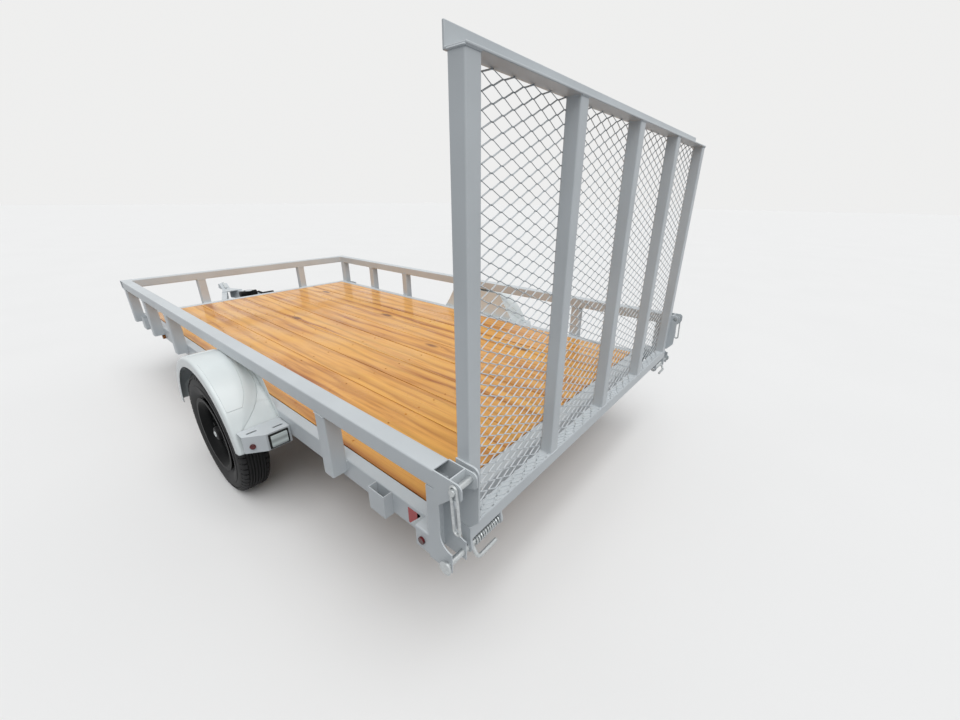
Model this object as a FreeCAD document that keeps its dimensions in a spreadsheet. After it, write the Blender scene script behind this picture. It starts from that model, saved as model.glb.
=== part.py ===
import FreeCAD, Part
import math
import os
from types import SimpleNamespace

import Sketcher

# Single axle utility trailer with a folding mesh ramp gate, in millimetres.
# The origin is on the ground below the middle of the trailer, +X points to the
# coupler, +Y to the left side and +Z up. Lengths along the trailer are counted
# from the rear faces of the hinge posts, and put_at moves them to the origin.

SIZES = (
    # name, value, meaning
    ("bed_length", 3048.0, "rear faces of the hinge posts to the front face of the front rail"),
    ("bed_width", 1524.0, "over the two side rails of the frame"),
    ("frame_top", 438.0, "ground to the top of the side rails"),
    ("frame_depth", 76.2, "depth of the side rail tube"),
    ("frame_thick", 38.1, "width of the side rail tube"),
    ("frame_wall", 3.0, "wall of the frame tubes"),
    ("frame_rear", 102.0, "rear end of the frame behind the deck"),
    ("rear_member_width", 58.0, "width of the rear cross member"),
    ("rail_top", 662.0, "ground to the top of the top rails"),
    ("rail_size", 50.8, "square tube of the top rails and uprights"),
    ("rail_wall", 3.0, "wall of that tube"),
    ("upright_overlap", 42.0, "how far an upright laps the frame"),
    ("upright_pitch", 450.0, "between the side uprights ahead of the fender"),
    ("rear_upright_place", 531.0, "middle of the rear side upright"),
    ("front_upright_place", 375.0, "front uprights to the middle of the trailer"),
    ("deck_drop", 2.0, "deck surface below the top of the frame"),
    ("board_thick", 38.0, "thickness of a deck board"),
    ("board_width", 140.0, "width of a deck board"),
    ("deck_gap", 4.0, "between the deck and the frame around it"),
    ("angle_wall", 4.8, "thickness of the floor cross members"),
    ("angle_leg", 36.0, "top leg of a floor cross member"),
    ("axle_place", 1290.0, "middle of the axle"),
    ("tyre_radius", 268.0, "outside radius of the tyre, which is also the axle height"),
    ("tyre_width", 119.0, "over the tyre's side walls"),
    ("wheel_gap", 37.0, "side rail to the tyre's inner side wall"),
    ("rim_radius", 152.0, "bead seat of the wheel"),
    ("rim_wall", 4.0, "sheet of the wheel"),
    ("rim_width", 112.0, "over the flanges of the wheel"),
    ("window_circle", 109.0, "middles of the wheel's round windows"),
    ("window_radius", 13.0, "radius of one window"),
    ("hub_radius", 34.0, "outside radius of the hub barrel"),
    ("spindle_radius", 16.0, "radius of the spindle in the hub"),
    ("running_gap", 0.1, "radial clearance of a pin that turns in its hole"),
    ("axle_radius", 25.0, "outside radius of the axle tube"),
    ("spring_width", 44.5, "width of the leaves"),
    ("leaf_thick", 6.4, "thickness of one leaf"),
    ("spring_radius", 2600.0, "radius of the bow of the leaves"),
    ("spring_seat", 45.0, "middle of the axle to the ends of the leaves' flat seat"),
    ("spring_inset", 33.0, "middle of the leaves inside the outer faces of the side rails"),
    ("spring_reach", 320.0, "axle to the eye at the end of the main leaf"),
    ("eye_radius", 13.0, "outside radius of a spring eye"),
    ("bolt_radius", 7.0, "radius of the bolt through a spring eye"),
    ("hanger_wall", 5.0, "plate of the spring hangers"),
    ("ubolt_radius", 5.0, "half the thickness of the square bolts round the axle"),
    ("fender_radius", 343.0, "outside radius of the fender's crown"),
    ("fender_sweep", 160.0, "angle of the crown about the axle"),
    ("fender_width", 164.0, "side rail to the outer face of the fender's lip"),
    ("fender_wall", 2.5, "sheet of the fender"),
    ("fender_lip", 42.0, "depth of the hanging lip"),
    ("bracket_rear", 886.0, "rear edge of the lamp bracket"),
    ("bracket_top", 408.0, "ground to the top of the lamp bracket"),
    ("bracket_depth", 68.0, "height of the lamp bracket's rear face"),
    ("bracket_wall", 3.0, "sheet of the lamp bracket"),
    ("post_depth", 76.2, "hinge post along the trailer"),
    ("post_reach", 268.0, "rail top down to the foot of the hinge post"),
    ("post_wall", 3.4, "wall of the hinge posts"),
    ("post_back", 48.0, "depth of the short rear wall of a post"),
    ("ear_reach", 33.0, "how far the upper ears stand behind the post"),
    ("latch_back", 15.0, "latch hole behind the post"),
    ("latch_drop", 17.0, "latch hole below the rail top"),
    ("pin_radius", 8.0, "radius of the hinge pins and latch bars"),
    ("hinge_place", 12.0, "hinge axis ahead of the rear face of the posts"),
    ("hinge_drop", 247.0, "hinge axis below the rail top"),
    ("hinge_pitch", 122.0, "between the gate's two hinge eyes on one pin"),
    ("pin_grip", 52.0, "hinge axis down to the bar of a pin's handle"),
    ("gate_gap", 14.0, "gate to the inner faces of the hinge posts"),
    ("gate_tube", 38.0, "square tube of the gate's uprights"),
    ("gate_wall", 2.5, "wall of that tube"),
    ("gate_back", 2.7, "rear faces of the gate's uprights"),
    ("gate_foot", 183.0, "rail top down to the feet of the gate's uprights"),
    ("gate_rise", 736.5, "rail top up to the heads of the gate's uprights"),
    ("gate_angle", 38.0, "leg of the gate's top and bottom angles"),
    ("gate_angle_wall", 4.8, "thickness of those angles"),
    ("lug_reach", 27.0, "how far the gate's side plates stand behind the post"),
    ("lug_wall", 5.0, "thickness of the gate's side plates"),
    ("mesh_long", 63.5, "long way of one mesh diamond"),
    ("mesh_short", 27.5, "short way of one mesh diamond"),
    ("mesh_strand", 4.6, "width of a mesh strand"),
    ("mesh_thick", 1.6, "thickness of a mesh strand"),
    ("mesh_edge", 6.0, "solid margin round the mesh"),
    ("seat_gap", 0.3, "gap between pieces that lie on each other"),
    ("stop_gap", 5.0, "running clearance between the gate and the posts' bars"),
    ("tongue_angle", 19.0, "angle of a tongue rail to the middle line"),
    ("tongue_lap", 488.0, "rear ends of the tongue rails behind the front of the bed"),
    ("tongue_lead", 697.0, "front ends of the tongue rails ahead of the bed"),
    ("tongue_spread", 26.0, "front end of a tongue rail to the middle line"),
    ("ball_lead", 123.0, "middle of the coupler's ball socket ahead of the tongue rails"),
    ("socket_radius", 25.8, "radius of the ball socket"),
    ("socket_skirt", 14.0, "straight part below the ball's middle"),
    ("coupler_wall", 6.5, "sheet of the coupler"),
    ("jack_lead", 187.0, "middle of the jack ahead of the bed"),
    ("jack_top", 429.0, "ground to the top of the jack"),
    ("jack_foot_drop", 155.0, "ground to the lower end of the jack's outer tube"),
    ("jack_radius", 28.5, "outside radius of the jack's outer tube"),
    ("jack_wall", 3.0, "wall of the outer tube"),
    ("leg_gap", 0.5, "clearance of the inner leg in the outer tube"),
    ("leg_top", 258.0, "ground to the head of the inner leg"),
    ("foot_radius", 65.0, "radius of the jack's foot"),
    ("foot_thick", 8.0, "thickness of the jack's foot"),
    ("mount_drop", 16.0, "top of the tongue rails to the underside of the jack's mounting plate"),
    ("mount_wall", 8.0, "thickness of that plate"),
    ("link_wire", 7.0, "thickness of the snap link's wire"),
    ("link_width", 32.0, "snap link over its two sides"),
    ("link_length", 130.0, "snap link over its two ends"),
    ("bar_reach", 12.0, "how far a latch bar stands out of its post"),
    ("pocket_length", 72.0, "stake pocket along the trailer"),
    ("pocket_depth", 30.0, "stake pocket across the trailer"),
    ("pocket_wall", 3.0, "wall of a stake pocket"),
    ("rear_pocket_place", 317.0, "middle of the rear stake pocket"),
    ("front_pocket_inset", 188.0, "middle of the front stake pocket behind the front of the bed"),
    ("tail_box_length", 47.0, "box between the hinge post and the frame"),
    ("tail_box_height", 65.0, "height of that box"),
)


class Size:
    """A size that knows its number and the formula in the sheet that gives it."""

    def __init__(self, number, formula):
        self.number = float(number)
        self.formula = formula

    def __add__(self, other):
        other = as_size(other)
        return Size(self.number + other.number, f"({self.formula} + {other.formula})")

    def __sub__(self, other):
        other = as_size(other)
        return Size(self.number - other.number, f"({self.formula} - {other.formula})")

    def __mul__(self, other):
        other = as_size(other)
        return Size(self.number * other.number, f"({self.formula} * {other.formula})")

    def __truediv__(self, other):
        other = as_size(other)
        return Size(self.number / other.number, f"({self.formula} / {other.formula})")

    def __radd__(self, other):
        return as_size(other) + self

    def __rsub__(self, other):
        return as_size(other) - self

    def __rmul__(self, other):
        return as_size(other) * self

    def __neg__(self):
        return Size(-self.number, f"(-1 * {self.formula})")


def as_size(value):
    return value if isinstance(value, Size) else Size(value, repr(float(value)))


def sine(angle):
    return Size(math.sin(math.radians(angle.number)), f"sin({angle.formula})")


def cosine(angle):
    return Size(math.cos(math.radians(angle.number)), f"cos({angle.formula})")


def leg_of(slope, other_leg):
    """Third side of a right triangle from its long side and one short side."""
    slope, other_leg = as_size(slope), as_size(other_leg)
    number = math.sqrt(slope.number ** 2 - other_leg.number ** 2)
    return Size(number, f"sqrt({slope.formula} ^ 2 - {other_leg.formula} ^ 2)")


doc = FreeCAD.newDocument("UtilityTrailer")


def make_sheet():
    """Write the driving sizes to a spreadsheet and return them by name."""
    sheet = doc.addObject("Spreadsheet::Sheet", "Sizes")
    for row, (name, value, meaning) in enumerate(SIZES, start=1):
        sheet.set(f"A{row}", name)
        sheet.set(f"B{row}", str(value))
        sheet.setAlias(f"B{row}", name)
        sheet.set(f"C{row}", meaning)
    doc.recompute()
    return SimpleNamespace(**{name: Size(value, f"Sizes.{name}") for name, value, meaning in SIZES})


S = make_sheet()

# Places worked out from the driving sizes
rail_edge = S.bed_width / 2
rail_face = rail_edge + S.rail_size
rail_under = S.rail_top - S.rail_size
frame_under = S.frame_top - S.frame_depth
frame_inside = rail_edge - S.frame_thick
frame_front = S.bed_length - S.rail_size
front_member_rear = frame_front - S.frame_thick
deck_rear = S.frame_rear + S.rear_member_width + S.deck_gap
deck_front = front_member_rear - S.deck_gap
deck_under = S.frame_top - S.deck_drop - S.board_thick
axle_height = S.tyre_radius
tongue_rear = S.bed_length - S.tongue_lap
tongue_front = S.bed_length + S.tongue_lead
ball_place = tongue_front + S.ball_lead
jack_place = S.bed_length + S.jack_lead
front_pocket_place = S.bed_length - S.front_pocket_inset
nose_reach = ball_place + S.socket_radius + S.coupler_wall
middle = (nose_reach - S.ear_reach) / 2
tongue_top = frame_under
ball_height = tongue_top + S.socket_skirt
wheel_offset = rail_edge + S.wheel_gap + S.tyre_width / 2
hinge_height = S.rail_top - S.hinge_drop
gate_side = rail_edge - S.gate_gap
gate_width = 2 * gate_side
gate_front = S.gate_back + S.gate_tube
spring_line = rail_edge - S.spring_inset
leg_radius = S.jack_radius - S.jack_wall - S.leg_gap


def bind(thing, prop, size):
    """Tie one property of an object to the sheet."""
    thing.setExpression(prop, as_size(size).formula)


def put_at(thing, place, turn=None):
    """Place an object, its X counted from the rear faces of the posts.

    turn is an axis and an angle in degrees about it.
    """
    if turn:
        axis, angle = turn
        spin = FreeCAD.Rotation(FreeCAD.Vector(*axis), as_size(angle).number)
        thing.Placement = FreeCAD.Placement(FreeCAD.Vector(), spin)
        bind(thing, "Placement.Rotation.Angle", angle)
    along, across, up = place
    bind(thing, "Placement.Base.x", along - middle)
    bind(thing, "Placement.Base.y", across)
    bind(thing, "Placement.Base.z", up)
    return thing


def vector(across, up):
    return FreeCAD.Vector(as_size(across).number, as_size(up).number, 0)


def arc_to(across, up, radius, turn):
    """Last point of an arc in an outline; turn is 1 to the left, -1 to the right."""
    return (across, up, radius, turn)


def arc_curve(start, end, radius, turn):
    """The arc of under half a turn from start to end."""
    chord = end - start
    half = chord.Length / 2
    side = FreeCAD.Vector(-chord.y, chord.x, 0).normalize() * turn
    centre = start + chord / 2 + side * math.sqrt(max(radius ** 2 - half ** 2, 0))
    circle = Part.Circle(centre, FreeCAD.Vector(0, 0, 1), radius)
    first, last = (start, end) if turn > 0 else (end, start)
    angles = [math.atan2(point.y - centre.y, point.x - centre.x) for point in (first, last)]
    return Part.ArcOfCircle(circle, *angles)


def add_outline(sketch, outline):
    """Draw a closed outline of lines and arcs, each corner tied to the sheet."""
    corners = [vector(corner[0], corner[1]) for corner in outline]
    ends = []
    for i, corner in enumerate(outline):
        start = corners[i - 1]
        if len(corner) == 2:
            edge = sketch.addGeometry(Part.LineSegment(start, corners[i]))
            ends.append((edge, 1, 2))
        else:
            radius, turn = as_size(corner[2]), corner[3]
            edge = sketch.addGeometry(arc_curve(start, corners[i], radius.number, turn))
            bound = sketch.addConstraint(Sketcher.Constraint("Radius", edge, radius.number))
            sketch.setExpression(f"Constraints[{bound}]", radius.formula)
            ends.append((edge, 1, 2) if turn > 0 else (edge, 2, 1))
    for i, (edge, begin, end) in enumerate(ends):
        following, next_begin, next_end = ends[(i + 1) % len(ends)]
        sketch.addConstraint(Sketcher.Constraint("Coincident", edge, end, following, next_begin))
        for kind, size in (("DistanceX", outline[i][0]), ("DistanceY", outline[i][1])):
            tie_point(sketch, kind, edge, end, size)


def tie_point(sketch, kind, edge, point, size):
    size = as_size(size)
    rule = Sketcher.Constraint(kind, -1, 1, edge, point, size.number)
    sketch.setExpression(f"Constraints[{sketch.addConstraint(rule)}]", size.formula)


def add_hole(sketch, across, up, radius):
    radius = as_size(radius)
    circle = Part.Circle(vector(across, up), FreeCAD.Vector(0, 0, 1), radius.number)
    edge = sketch.addGeometry(circle)
    for kind, size in (("DistanceX", across), ("DistanceY", up)):
        tie_point(sketch, kind, edge, 3, size)
    bound = sketch.addConstraint(Sketcher.Constraint("Radius", edge, radius.number))
    sketch.setExpression(f"Constraints[{bound}]", radius.formula)


def sketched_body(name, plane, outlines, holes=()):
    """A body with one sketch on its own XY, XZ or YZ plane."""
    body = doc.addObject("PartDesign::Body", name)
    sketch = body.newObject("Sketcher::SketchObject", f"{name}_sketch")
    origin = [part for part in body.Origin.OriginFeatures if part.Role == f"{plane}_Plane"]
    sketch.AttachmentSupport = [(origin[0], "")]
    sketch.MapMode = "FlatFace"
    for outline in outlines:
        add_outline(sketch, outline)
    for hole in holes:
        add_hole(sketch, *hole)
    return body, sketch


def prism(name, plane, outlines, thick, place, holes=(), turn=None):
    """Pad outlines along the positive axis that the plane lacks."""
    body, sketch = sketched_body(name, plane, outlines, holes)
    pad = body.newObject("PartDesign::Pad", f"{name}_pad")
    pad.Profile = sketch
    pad.Reversed = plane == "XZ"
    bind(pad, "Length", thick)
    return put_at(body, place, turn)


def revolved(name, outline, place, sweep=None):
    """Turn an outline, drawn as distance along Y and radius, about the Y axis."""
    body, sketch = sketched_body(name, "YZ", [outline])
    turning = body.newObject("PartDesign::Revolution", f"{name}_turn")
    turning.Profile = sketch
    turning.ReferenceAxis = (sketch, ["H_Axis"])
    turning.Midplane = True
    if sweep is None:
        turning.Angle = 360
    else:
        bind(turning, "Angle", sweep)
    return put_at(body, place)


def rectangle(left, low, wide, high):
    return [(left, low), (left + wide, low), (left + wide, low + high), (left, low + high)]


def tube_outlines(wide, high, wall):
    """Outer and inner rectangle of a tube with one corner at the sketch's origin."""
    inner = rectangle(as_size(wall), as_size(wall), wide - 2 * wall, high - 2 * wall)
    return [rectangle(as_size(0), as_size(0), wide, high), inner]


def angle_outline(across, up, wall):
    """An L with its corner at the sketch's origin; a negative leg points backwards."""
    wall_across = wall if across.number > 0 else -wall
    wall_up = wall if up.number > 0 else -wall
    zero = as_size(0)
    return [(zero, zero), (across, zero), (across, wall_up), (wall_across, wall_up),
            (wall_across, up), (zero, up)]


def box(name, size, place, turn=None):
    thing = doc.addObject("Part::Box", name)
    for prop, value in zip(("Length", "Width", "Height"), size):
        bind(thing, prop, value)
    return put_at(thing, place, turn)


ALONG_Y = ((1, 0, 0), -90)


def rod(name, radius, length, place, turn=None):
    """A cylinder that starts at place and runs along Z, or with ALONG_Y along Y."""
    thing = doc.addObject("Part::Cylinder", name)
    bind(thing, "Radius", radius)
    bind(thing, "Height", length)
    return put_at(thing, place, turn)


def upright_bar(name, sides, radius, length):
    """A bar with flat sides, standing on the origin."""
    thing = doc.addObject("Part::Prism", name)
    thing.Polygon = sides
    bind(thing, "Circumradius", radius)
    bind(thing, "Height", length)
    return thing


def ball(name, radius, place):
    thing = doc.addObject("Part::Sphere", name)
    bind(thing, "Radius", radius)
    return put_at(thing, place)


def fused(name, *pieces):
    thing = doc.addObject("Part::MultiFuse", name)
    thing.Shapes = list(pieces)
    thing.Refine = True
    return thing


def cut(name, base, *tools):
    thing = doc.addObject("Part::Cut", name)
    thing.Base = base
    thing.Tool = tools[0] if len(tools) == 1 else fused(f"{name}_tools", *tools)
    return thing


def mirrored(name, source):
    """The same piece on the right side."""
    thing = doc.addObject("Part::Mirroring", name)
    thing.Source = source
    thing.Normal = FreeCAD.Vector(0, 1, 0)
    thing.Base = FreeCAD.Vector(0, 0, 0)
    return thing


nodes = []


def node(name, *pieces):
    """Name a sub-part; several separate solids on one body share it."""
    if len(pieces) == 1:
        thing = pieces[0]
    else:
        thing = doc.addObject("Part::Compound", f"{name}_set")
        thing.Links = list(pieces)
    thing.Label = name
    nodes.append(thing)
    return thing


def pair(name, left):
    """A left sub-part and its mirror image on the right."""
    node(f"{name}_left", left)
    node(f"{name}_right", mirrored(f"{name}_mirror", left))


def make_frame():
    """Side rails, end members and the angles under the deck."""
    rail = prism("side_rail", "YZ", tube_outlines(S.frame_thick, S.frame_depth, S.frame_wall),
                 front_member_rear - S.frame_rear, (S.frame_rear, frame_inside, frame_under))
    pair("side_rail", rail)
    inside_width = 2 * frame_inside
    outlines = tube_outlines(S.frame_thick, S.frame_depth, S.frame_wall)
    node("front_cross_member",
         prism("front_member", "XZ", outlines, S.bed_width, (front_member_rear, -rail_edge, frame_under)))
    outlines = tube_outlines(S.rear_member_width, S.frame_depth, S.frame_wall)
    node("rear_cross_member",
         prism("rear_member", "XZ", outlines, inside_width, (S.frame_rear, -frame_inside, frame_under)))
    floor_count = 6
    pitch = (front_member_rear - deck_rear) / (floor_count + 1)
    legs = angle_outline(S.angle_leg, frame_under - deck_under, S.angle_wall)
    members = [prism(f"floor_member_{i}", "XZ", [legs], inside_width,
                     (deck_rear + pitch * i, -frame_inside, deck_under))
               for i in range(1, floor_count + 1)]
    node("floor_cross_members", *members)


def make_deck():
    """Ten boards side by side along the trailer."""
    board_count = 10
    deck_side = frame_inside - S.deck_gap
    pitch = (2 * deck_side - S.board_width) / (board_count - 1)
    size = (deck_front - deck_rear, S.board_width, S.board_thick)
    boards = [box(f"board_{i}", size, (deck_rear, pitch * i - deck_side, deck_under))
              for i in range(board_count)]
    node("deck_boards", *boards)


def make_rails():
    """Square tube top rails on uprights that lap the outside of the frame."""
    square = tube_outlines(S.rail_size, S.rail_size, S.rail_wall)
    rail = prism("top_rail", "YZ", square, frame_front - S.rail_size, (S.rail_size, rail_edge, rail_under))
    pair("top_rail", rail)
    node("top_rail_front",
         prism("front_rail", "XZ", square, 2 * rail_face, (frame_front, -rail_face, rail_under)))
    foot = S.frame_top - S.upright_overlap
    rise = rail_under - foot
    half = S.rail_size / 2
    corner = frame_front - half
    side_places = (S.rear_upright_place, corner - 2 * S.upright_pitch, corner - S.upright_pitch, corner)
    left = [prism(f"upright_{i}", "XY", square, rise, (place - half, rail_edge, foot))
            for i, place in enumerate(side_places)]
    node("uprights_left", *left)
    node("uprights_right", *[mirrored(f"upright_mirror_{i}", upright) for i, upright in enumerate(left)])
    front = [prism(f"front_upright_{i}", "XY", square, rise,
                   (frame_front, side * S.front_upright_place - half, foot))
             for i, side in enumerate((-1, 1))]
    node("uprights_front", *front)


def post_side(name, inner_face):
    """One side wall of a hinge post, with its two ears and the notch for the top rail."""
    notch = S.rail_size
    depth = S.post_depth
    outline = [
        (notch, -notch), (notch, as_size(0)),
        (14 - S.ear_reach, as_size(0)), arc_to(-S.ear_reach, as_size(-14), 14, 1),
        (-S.ear_reach, as_size(-30)), arc_to(12 - S.ear_reach, as_size(-42), 12, 1),
        (as_size(3), as_size(-54)), (depth / 2, as_size(-88)), (depth / 2, 93 - S.post_reach),
        arc_to(as_size(2), 56 - S.post_reach, 37, -1), (as_size(2), -S.post_reach),
        (depth, -S.post_reach), (depth, -notch),
    ]
    hole = S.pin_radius + S.running_gap
    holes = [(-S.latch_back, -S.latch_drop, hole), (S.hinge_place, -S.hinge_drop, hole)]
    return prism(name, "XZ", [outline], S.post_wall, (as_size(0), inner_face, S.rail_top), holes)


def make_posts():
    """C-shaped hinge posts of thick tube, open to the rear between their ears."""
    inner = post_side("post_inner_side", rail_edge)
    outer = post_side("post_outer_side", rail_face - S.post_wall)
    between = S.rail_size - 2 * S.post_wall
    between_face = rail_edge + S.post_wall
    foot = S.rail_top - S.post_reach
    front = box("post_front", (S.post_wall, between, rail_under - foot),
                (S.post_depth - S.post_wall, between_face, foot))
    back = box("post_back", (S.post_wall, between, S.post_back),
               (as_size(0), between_face, S.rail_top - S.post_back))
    pair("hinge_post", fused("post", inner, outer, front, back))
    bar_inner = gate_side + S.lug_wall + S.stop_gap
    bar = rod("latch_bar", S.pin_radius, rail_face + S.bar_reach - bar_inner,
              (-S.latch_back, bar_inner, S.rail_top - S.latch_drop), ALONG_Y)
    node("latch_bars", bar, mirrored("latch_bar_mirror", bar))
    tail = prism("tail_box", "YZ", tube_outlines(S.rail_size, S.tail_box_height, S.rail_wall),
                 S.tail_box_length, (S.post_depth, rail_edge, foot + 4))
    node("tail_boxes", tail, mirrored("tail_box_mirror", tail))


def make_snap_links():
    """A long link that hangs on each latch bar, outside the post."""
    wire = S.link_wire
    half = S.link_width / 2
    corner = S.link_width / 4
    low = -S.link_length

    def ring(side, inset):
        cut_off = corner - inset / 2
        return [(side, inset - inset - cut_off), (side - cut_off, -inset),
                (cut_off - side, -inset), (-side, -inset - cut_off),
                (-side, low + inset + cut_off), (cut_off - side, low + inset),
                (side - cut_off, low + inset), (side, low + inset + cut_off)]

    outlines = [ring(half, as_size(0)), ring(half - wire, wire)]
    bar_top = S.rail_top - S.latch_drop + S.pin_radius
    link = prism("snap_link", "XZ", outlines, wire,
                 (-S.latch_back, rail_face + S.seat_gap, bar_top + S.seat_gap + wire))
    node("snap_links", link, mirrored("snap_link_mirror", link))


def make_fender():
    """Rolled crown with a hanging lip, welded to a cut back plate."""
    wall = S.fender_wall
    inner = rail_edge + wall
    outer = rail_edge + S.fender_width
    high = S.fender_radius
    lip = high - S.fender_lip
    bend = as_size(12)
    crown_profile = [
        (inner, high - wall), (outer - bend, high - wall), (outer - wall, high - bend),
        (outer - wall, lip), (outer, lip), (outer, high - bend), (outer - bend, high), (inner, high),
    ]
    crown = revolved("fender_crown", crown_profile, (S.axle_place, as_size(0), axle_height), S.fender_sweep)
    plate_top = rail_under - 12 - axle_height
    low_edge = frame_under - axle_height
    rear_reach = leg_of(high - wall, low_edge)
    half_side = [
        (rear_reach, low_edge), (rear_reach - 12, low_edge + 66), (rear_reach - 60, low_edge + 130),
        (rear_reach - 125, plate_top),
    ]
    mirrored_side = [(-across, up) for across, up in reversed(half_side)]
    plate = prism("fender_plate", "XZ", [half_side + mirrored_side], wall,
                  (S.axle_place, rail_edge, axle_height))
    pair("fender", fused("fender_joined", crown, plate))


def make_lamp_bracket():
    """Folded shelf behind the fender for the tail lamp and a round marker."""
    wall = S.bracket_wall
    inner = rail_edge + S.fender_wall
    bend = rail_edge + 88
    outer = rail_edge + 150
    skew = as_size(44)
    foot = S.bracket_top - S.bracket_depth
    front = S.axle_place - leg_of(S.fender_radius, S.bracket_top - wall - axle_height) - S.seat_gap
    reach = front - S.bracket_rear
    zero = as_size(0)
    deep = reach + 20
    outer_block = prism("bracket_block", "XY",
                        [[(zero, inner), (reach, inner), (reach, outer), (skew, outer), (zero, bend)]],
                        S.bracket_depth, (S.bracket_rear, zero, foot))
    skewed_wall = wall * 1.23
    inner_block = prism("bracket_hollow", "XY",
                        [[(wall, inner - 10), (deep, inner - 10), (deep, outer + 20),
                          (skew + skewed_wall + 14.2, outer + 20), (wall, bend - 0.7)]],
                        S.bracket_depth - wall, (S.bracket_rear, zero, foot))
    slots = []
    for i, (along, across) in enumerate(((0.33, 30), (0.62, 110))):
        half = 14
        narrow = as_size(4.5)
        slot = [(-narrow, as_size(-half)), arc_to(narrow, as_size(-half), 4.51, 1),
                (narrow, as_size(half)), arc_to(-narrow, as_size(half), 4.51, 1)]
        slots.append(prism(f"bracket_slot_{i}", "XY", [slot], wall + 10,
                           (S.bracket_rear + reach * along, inner + across, S.bracket_top - wall - 5)))
    shelf = cut("bracket_shelf", outer_block, inner_block, *slots)
    pair("lamp_bracket", shelf)
    lamp_width = as_size(70)
    lamp_height = as_size(58)
    lamp_low = foot + (S.bracket_depth - lamp_height) / 2
    lamp_side = inner + 9
    frame = [rectangle(lamp_side, lamp_low, lamp_width, lamp_height),
             rectangle(lamp_side + 6, lamp_low + 6, lamp_width - 12, lamp_height - 12)]
    collar = prism("lamp_grommet", "YZ", frame, 6, (S.bracket_rear - 6, zero, zero))
    node("lamp_grommets", collar, mirrored("lamp_grommet_mirror", collar))
    lens = prism("tail_lamp", "YZ", [rectangle(lamp_side + 6.3, lamp_low + 6.3, lamp_width - 12.6,
                                               lamp_height - 12.6)],
                 11, (S.bracket_rear - 11, zero, zero))
    node("tail_lamps", lens, mirrored("tail_lamp_mirror", lens))


def make_markers():
    """Round and oblong marker lamps, each flat on the metal behind it."""
    foot = S.rail_top - S.post_reach + 4
    tail = rod("tail_marker", 10, 6, (S.post_depth + S.tail_box_length / 2, rail_face,
                                      foot + S.tail_box_height / 2), ALONG_Y)
    skew = math.degrees(math.atan2(62, 44))
    middle_height = S.bracket_top - S.bracket_depth / 2
    rear = rod("fender_marker", 10, 6, (S.bracket_rear + 27, rail_edge + 126.1, middle_height - 6),
               ((-math.cos(math.radians(skew)), -math.sin(math.radians(skew)), 0), 90))
    node("round_markers", tail, mirrored("tail_marker_mirror", tail),
         rear, mirrored("fender_marker_mirror", rear))
    side = rod("side_marker", 13, 14, (frame_front - S.rail_size / 2 - S.upright_pitch, rail_edge,
                                       S.frame_top - S.upright_overlap - 19), ALONG_Y)
    node("side_markers", side, mirrored("side_marker_mirror", side))


def make_stake_pockets():
    """Open sockets of bent plate on the outside of the side rails."""
    wall = S.pocket_wall
    length, depth = S.pocket_length, S.pocket_depth
    zero = as_size(0)
    channel = [(zero, zero), (wall, zero), (wall, depth - wall), (length - wall, depth - wall),
               (length - wall, zero), (length, zero), (length, depth), (zero, depth)]
    left = [prism(f"stake_pocket_{i}", "XY", [channel], S.frame_depth,
                  (place - length / 2, rail_edge, frame_under))
            for i, place in enumerate((S.rear_pocket_place, front_pocket_place))]
    node("stake_pockets_left", *left)
    node("stake_pockets_right", *[mirrored(f"pocket_mirror_{i}", pocket) for i, pocket in enumerate(left)])


def tongue_side(along):
    """Middle line to the middle of a tongue rail at a place along the trailer."""
    return S.tongue_spread + (tongue_front - along) * sine(S.tongue_angle) / cosine(S.tongue_angle)


def make_tongue():
    """Two tubes that run from under the frame to the coupler."""
    half = S.frame_thick / 2
    run = (tongue_front - tongue_rear) / cosine(S.tongue_angle)
    corner = (tongue_rear - half * sine(S.tongue_angle),
              tongue_side(tongue_rear) - half * cosine(S.tongue_angle), tongue_top - S.frame_depth)
    rail = prism("tongue_tube", "YZ", tube_outlines(S.frame_thick, S.frame_depth, S.frame_wall),
                 run, corner, turn=((0, 0, 1), -S.tongue_angle))
    pair("tongue_rail", rail)


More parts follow.
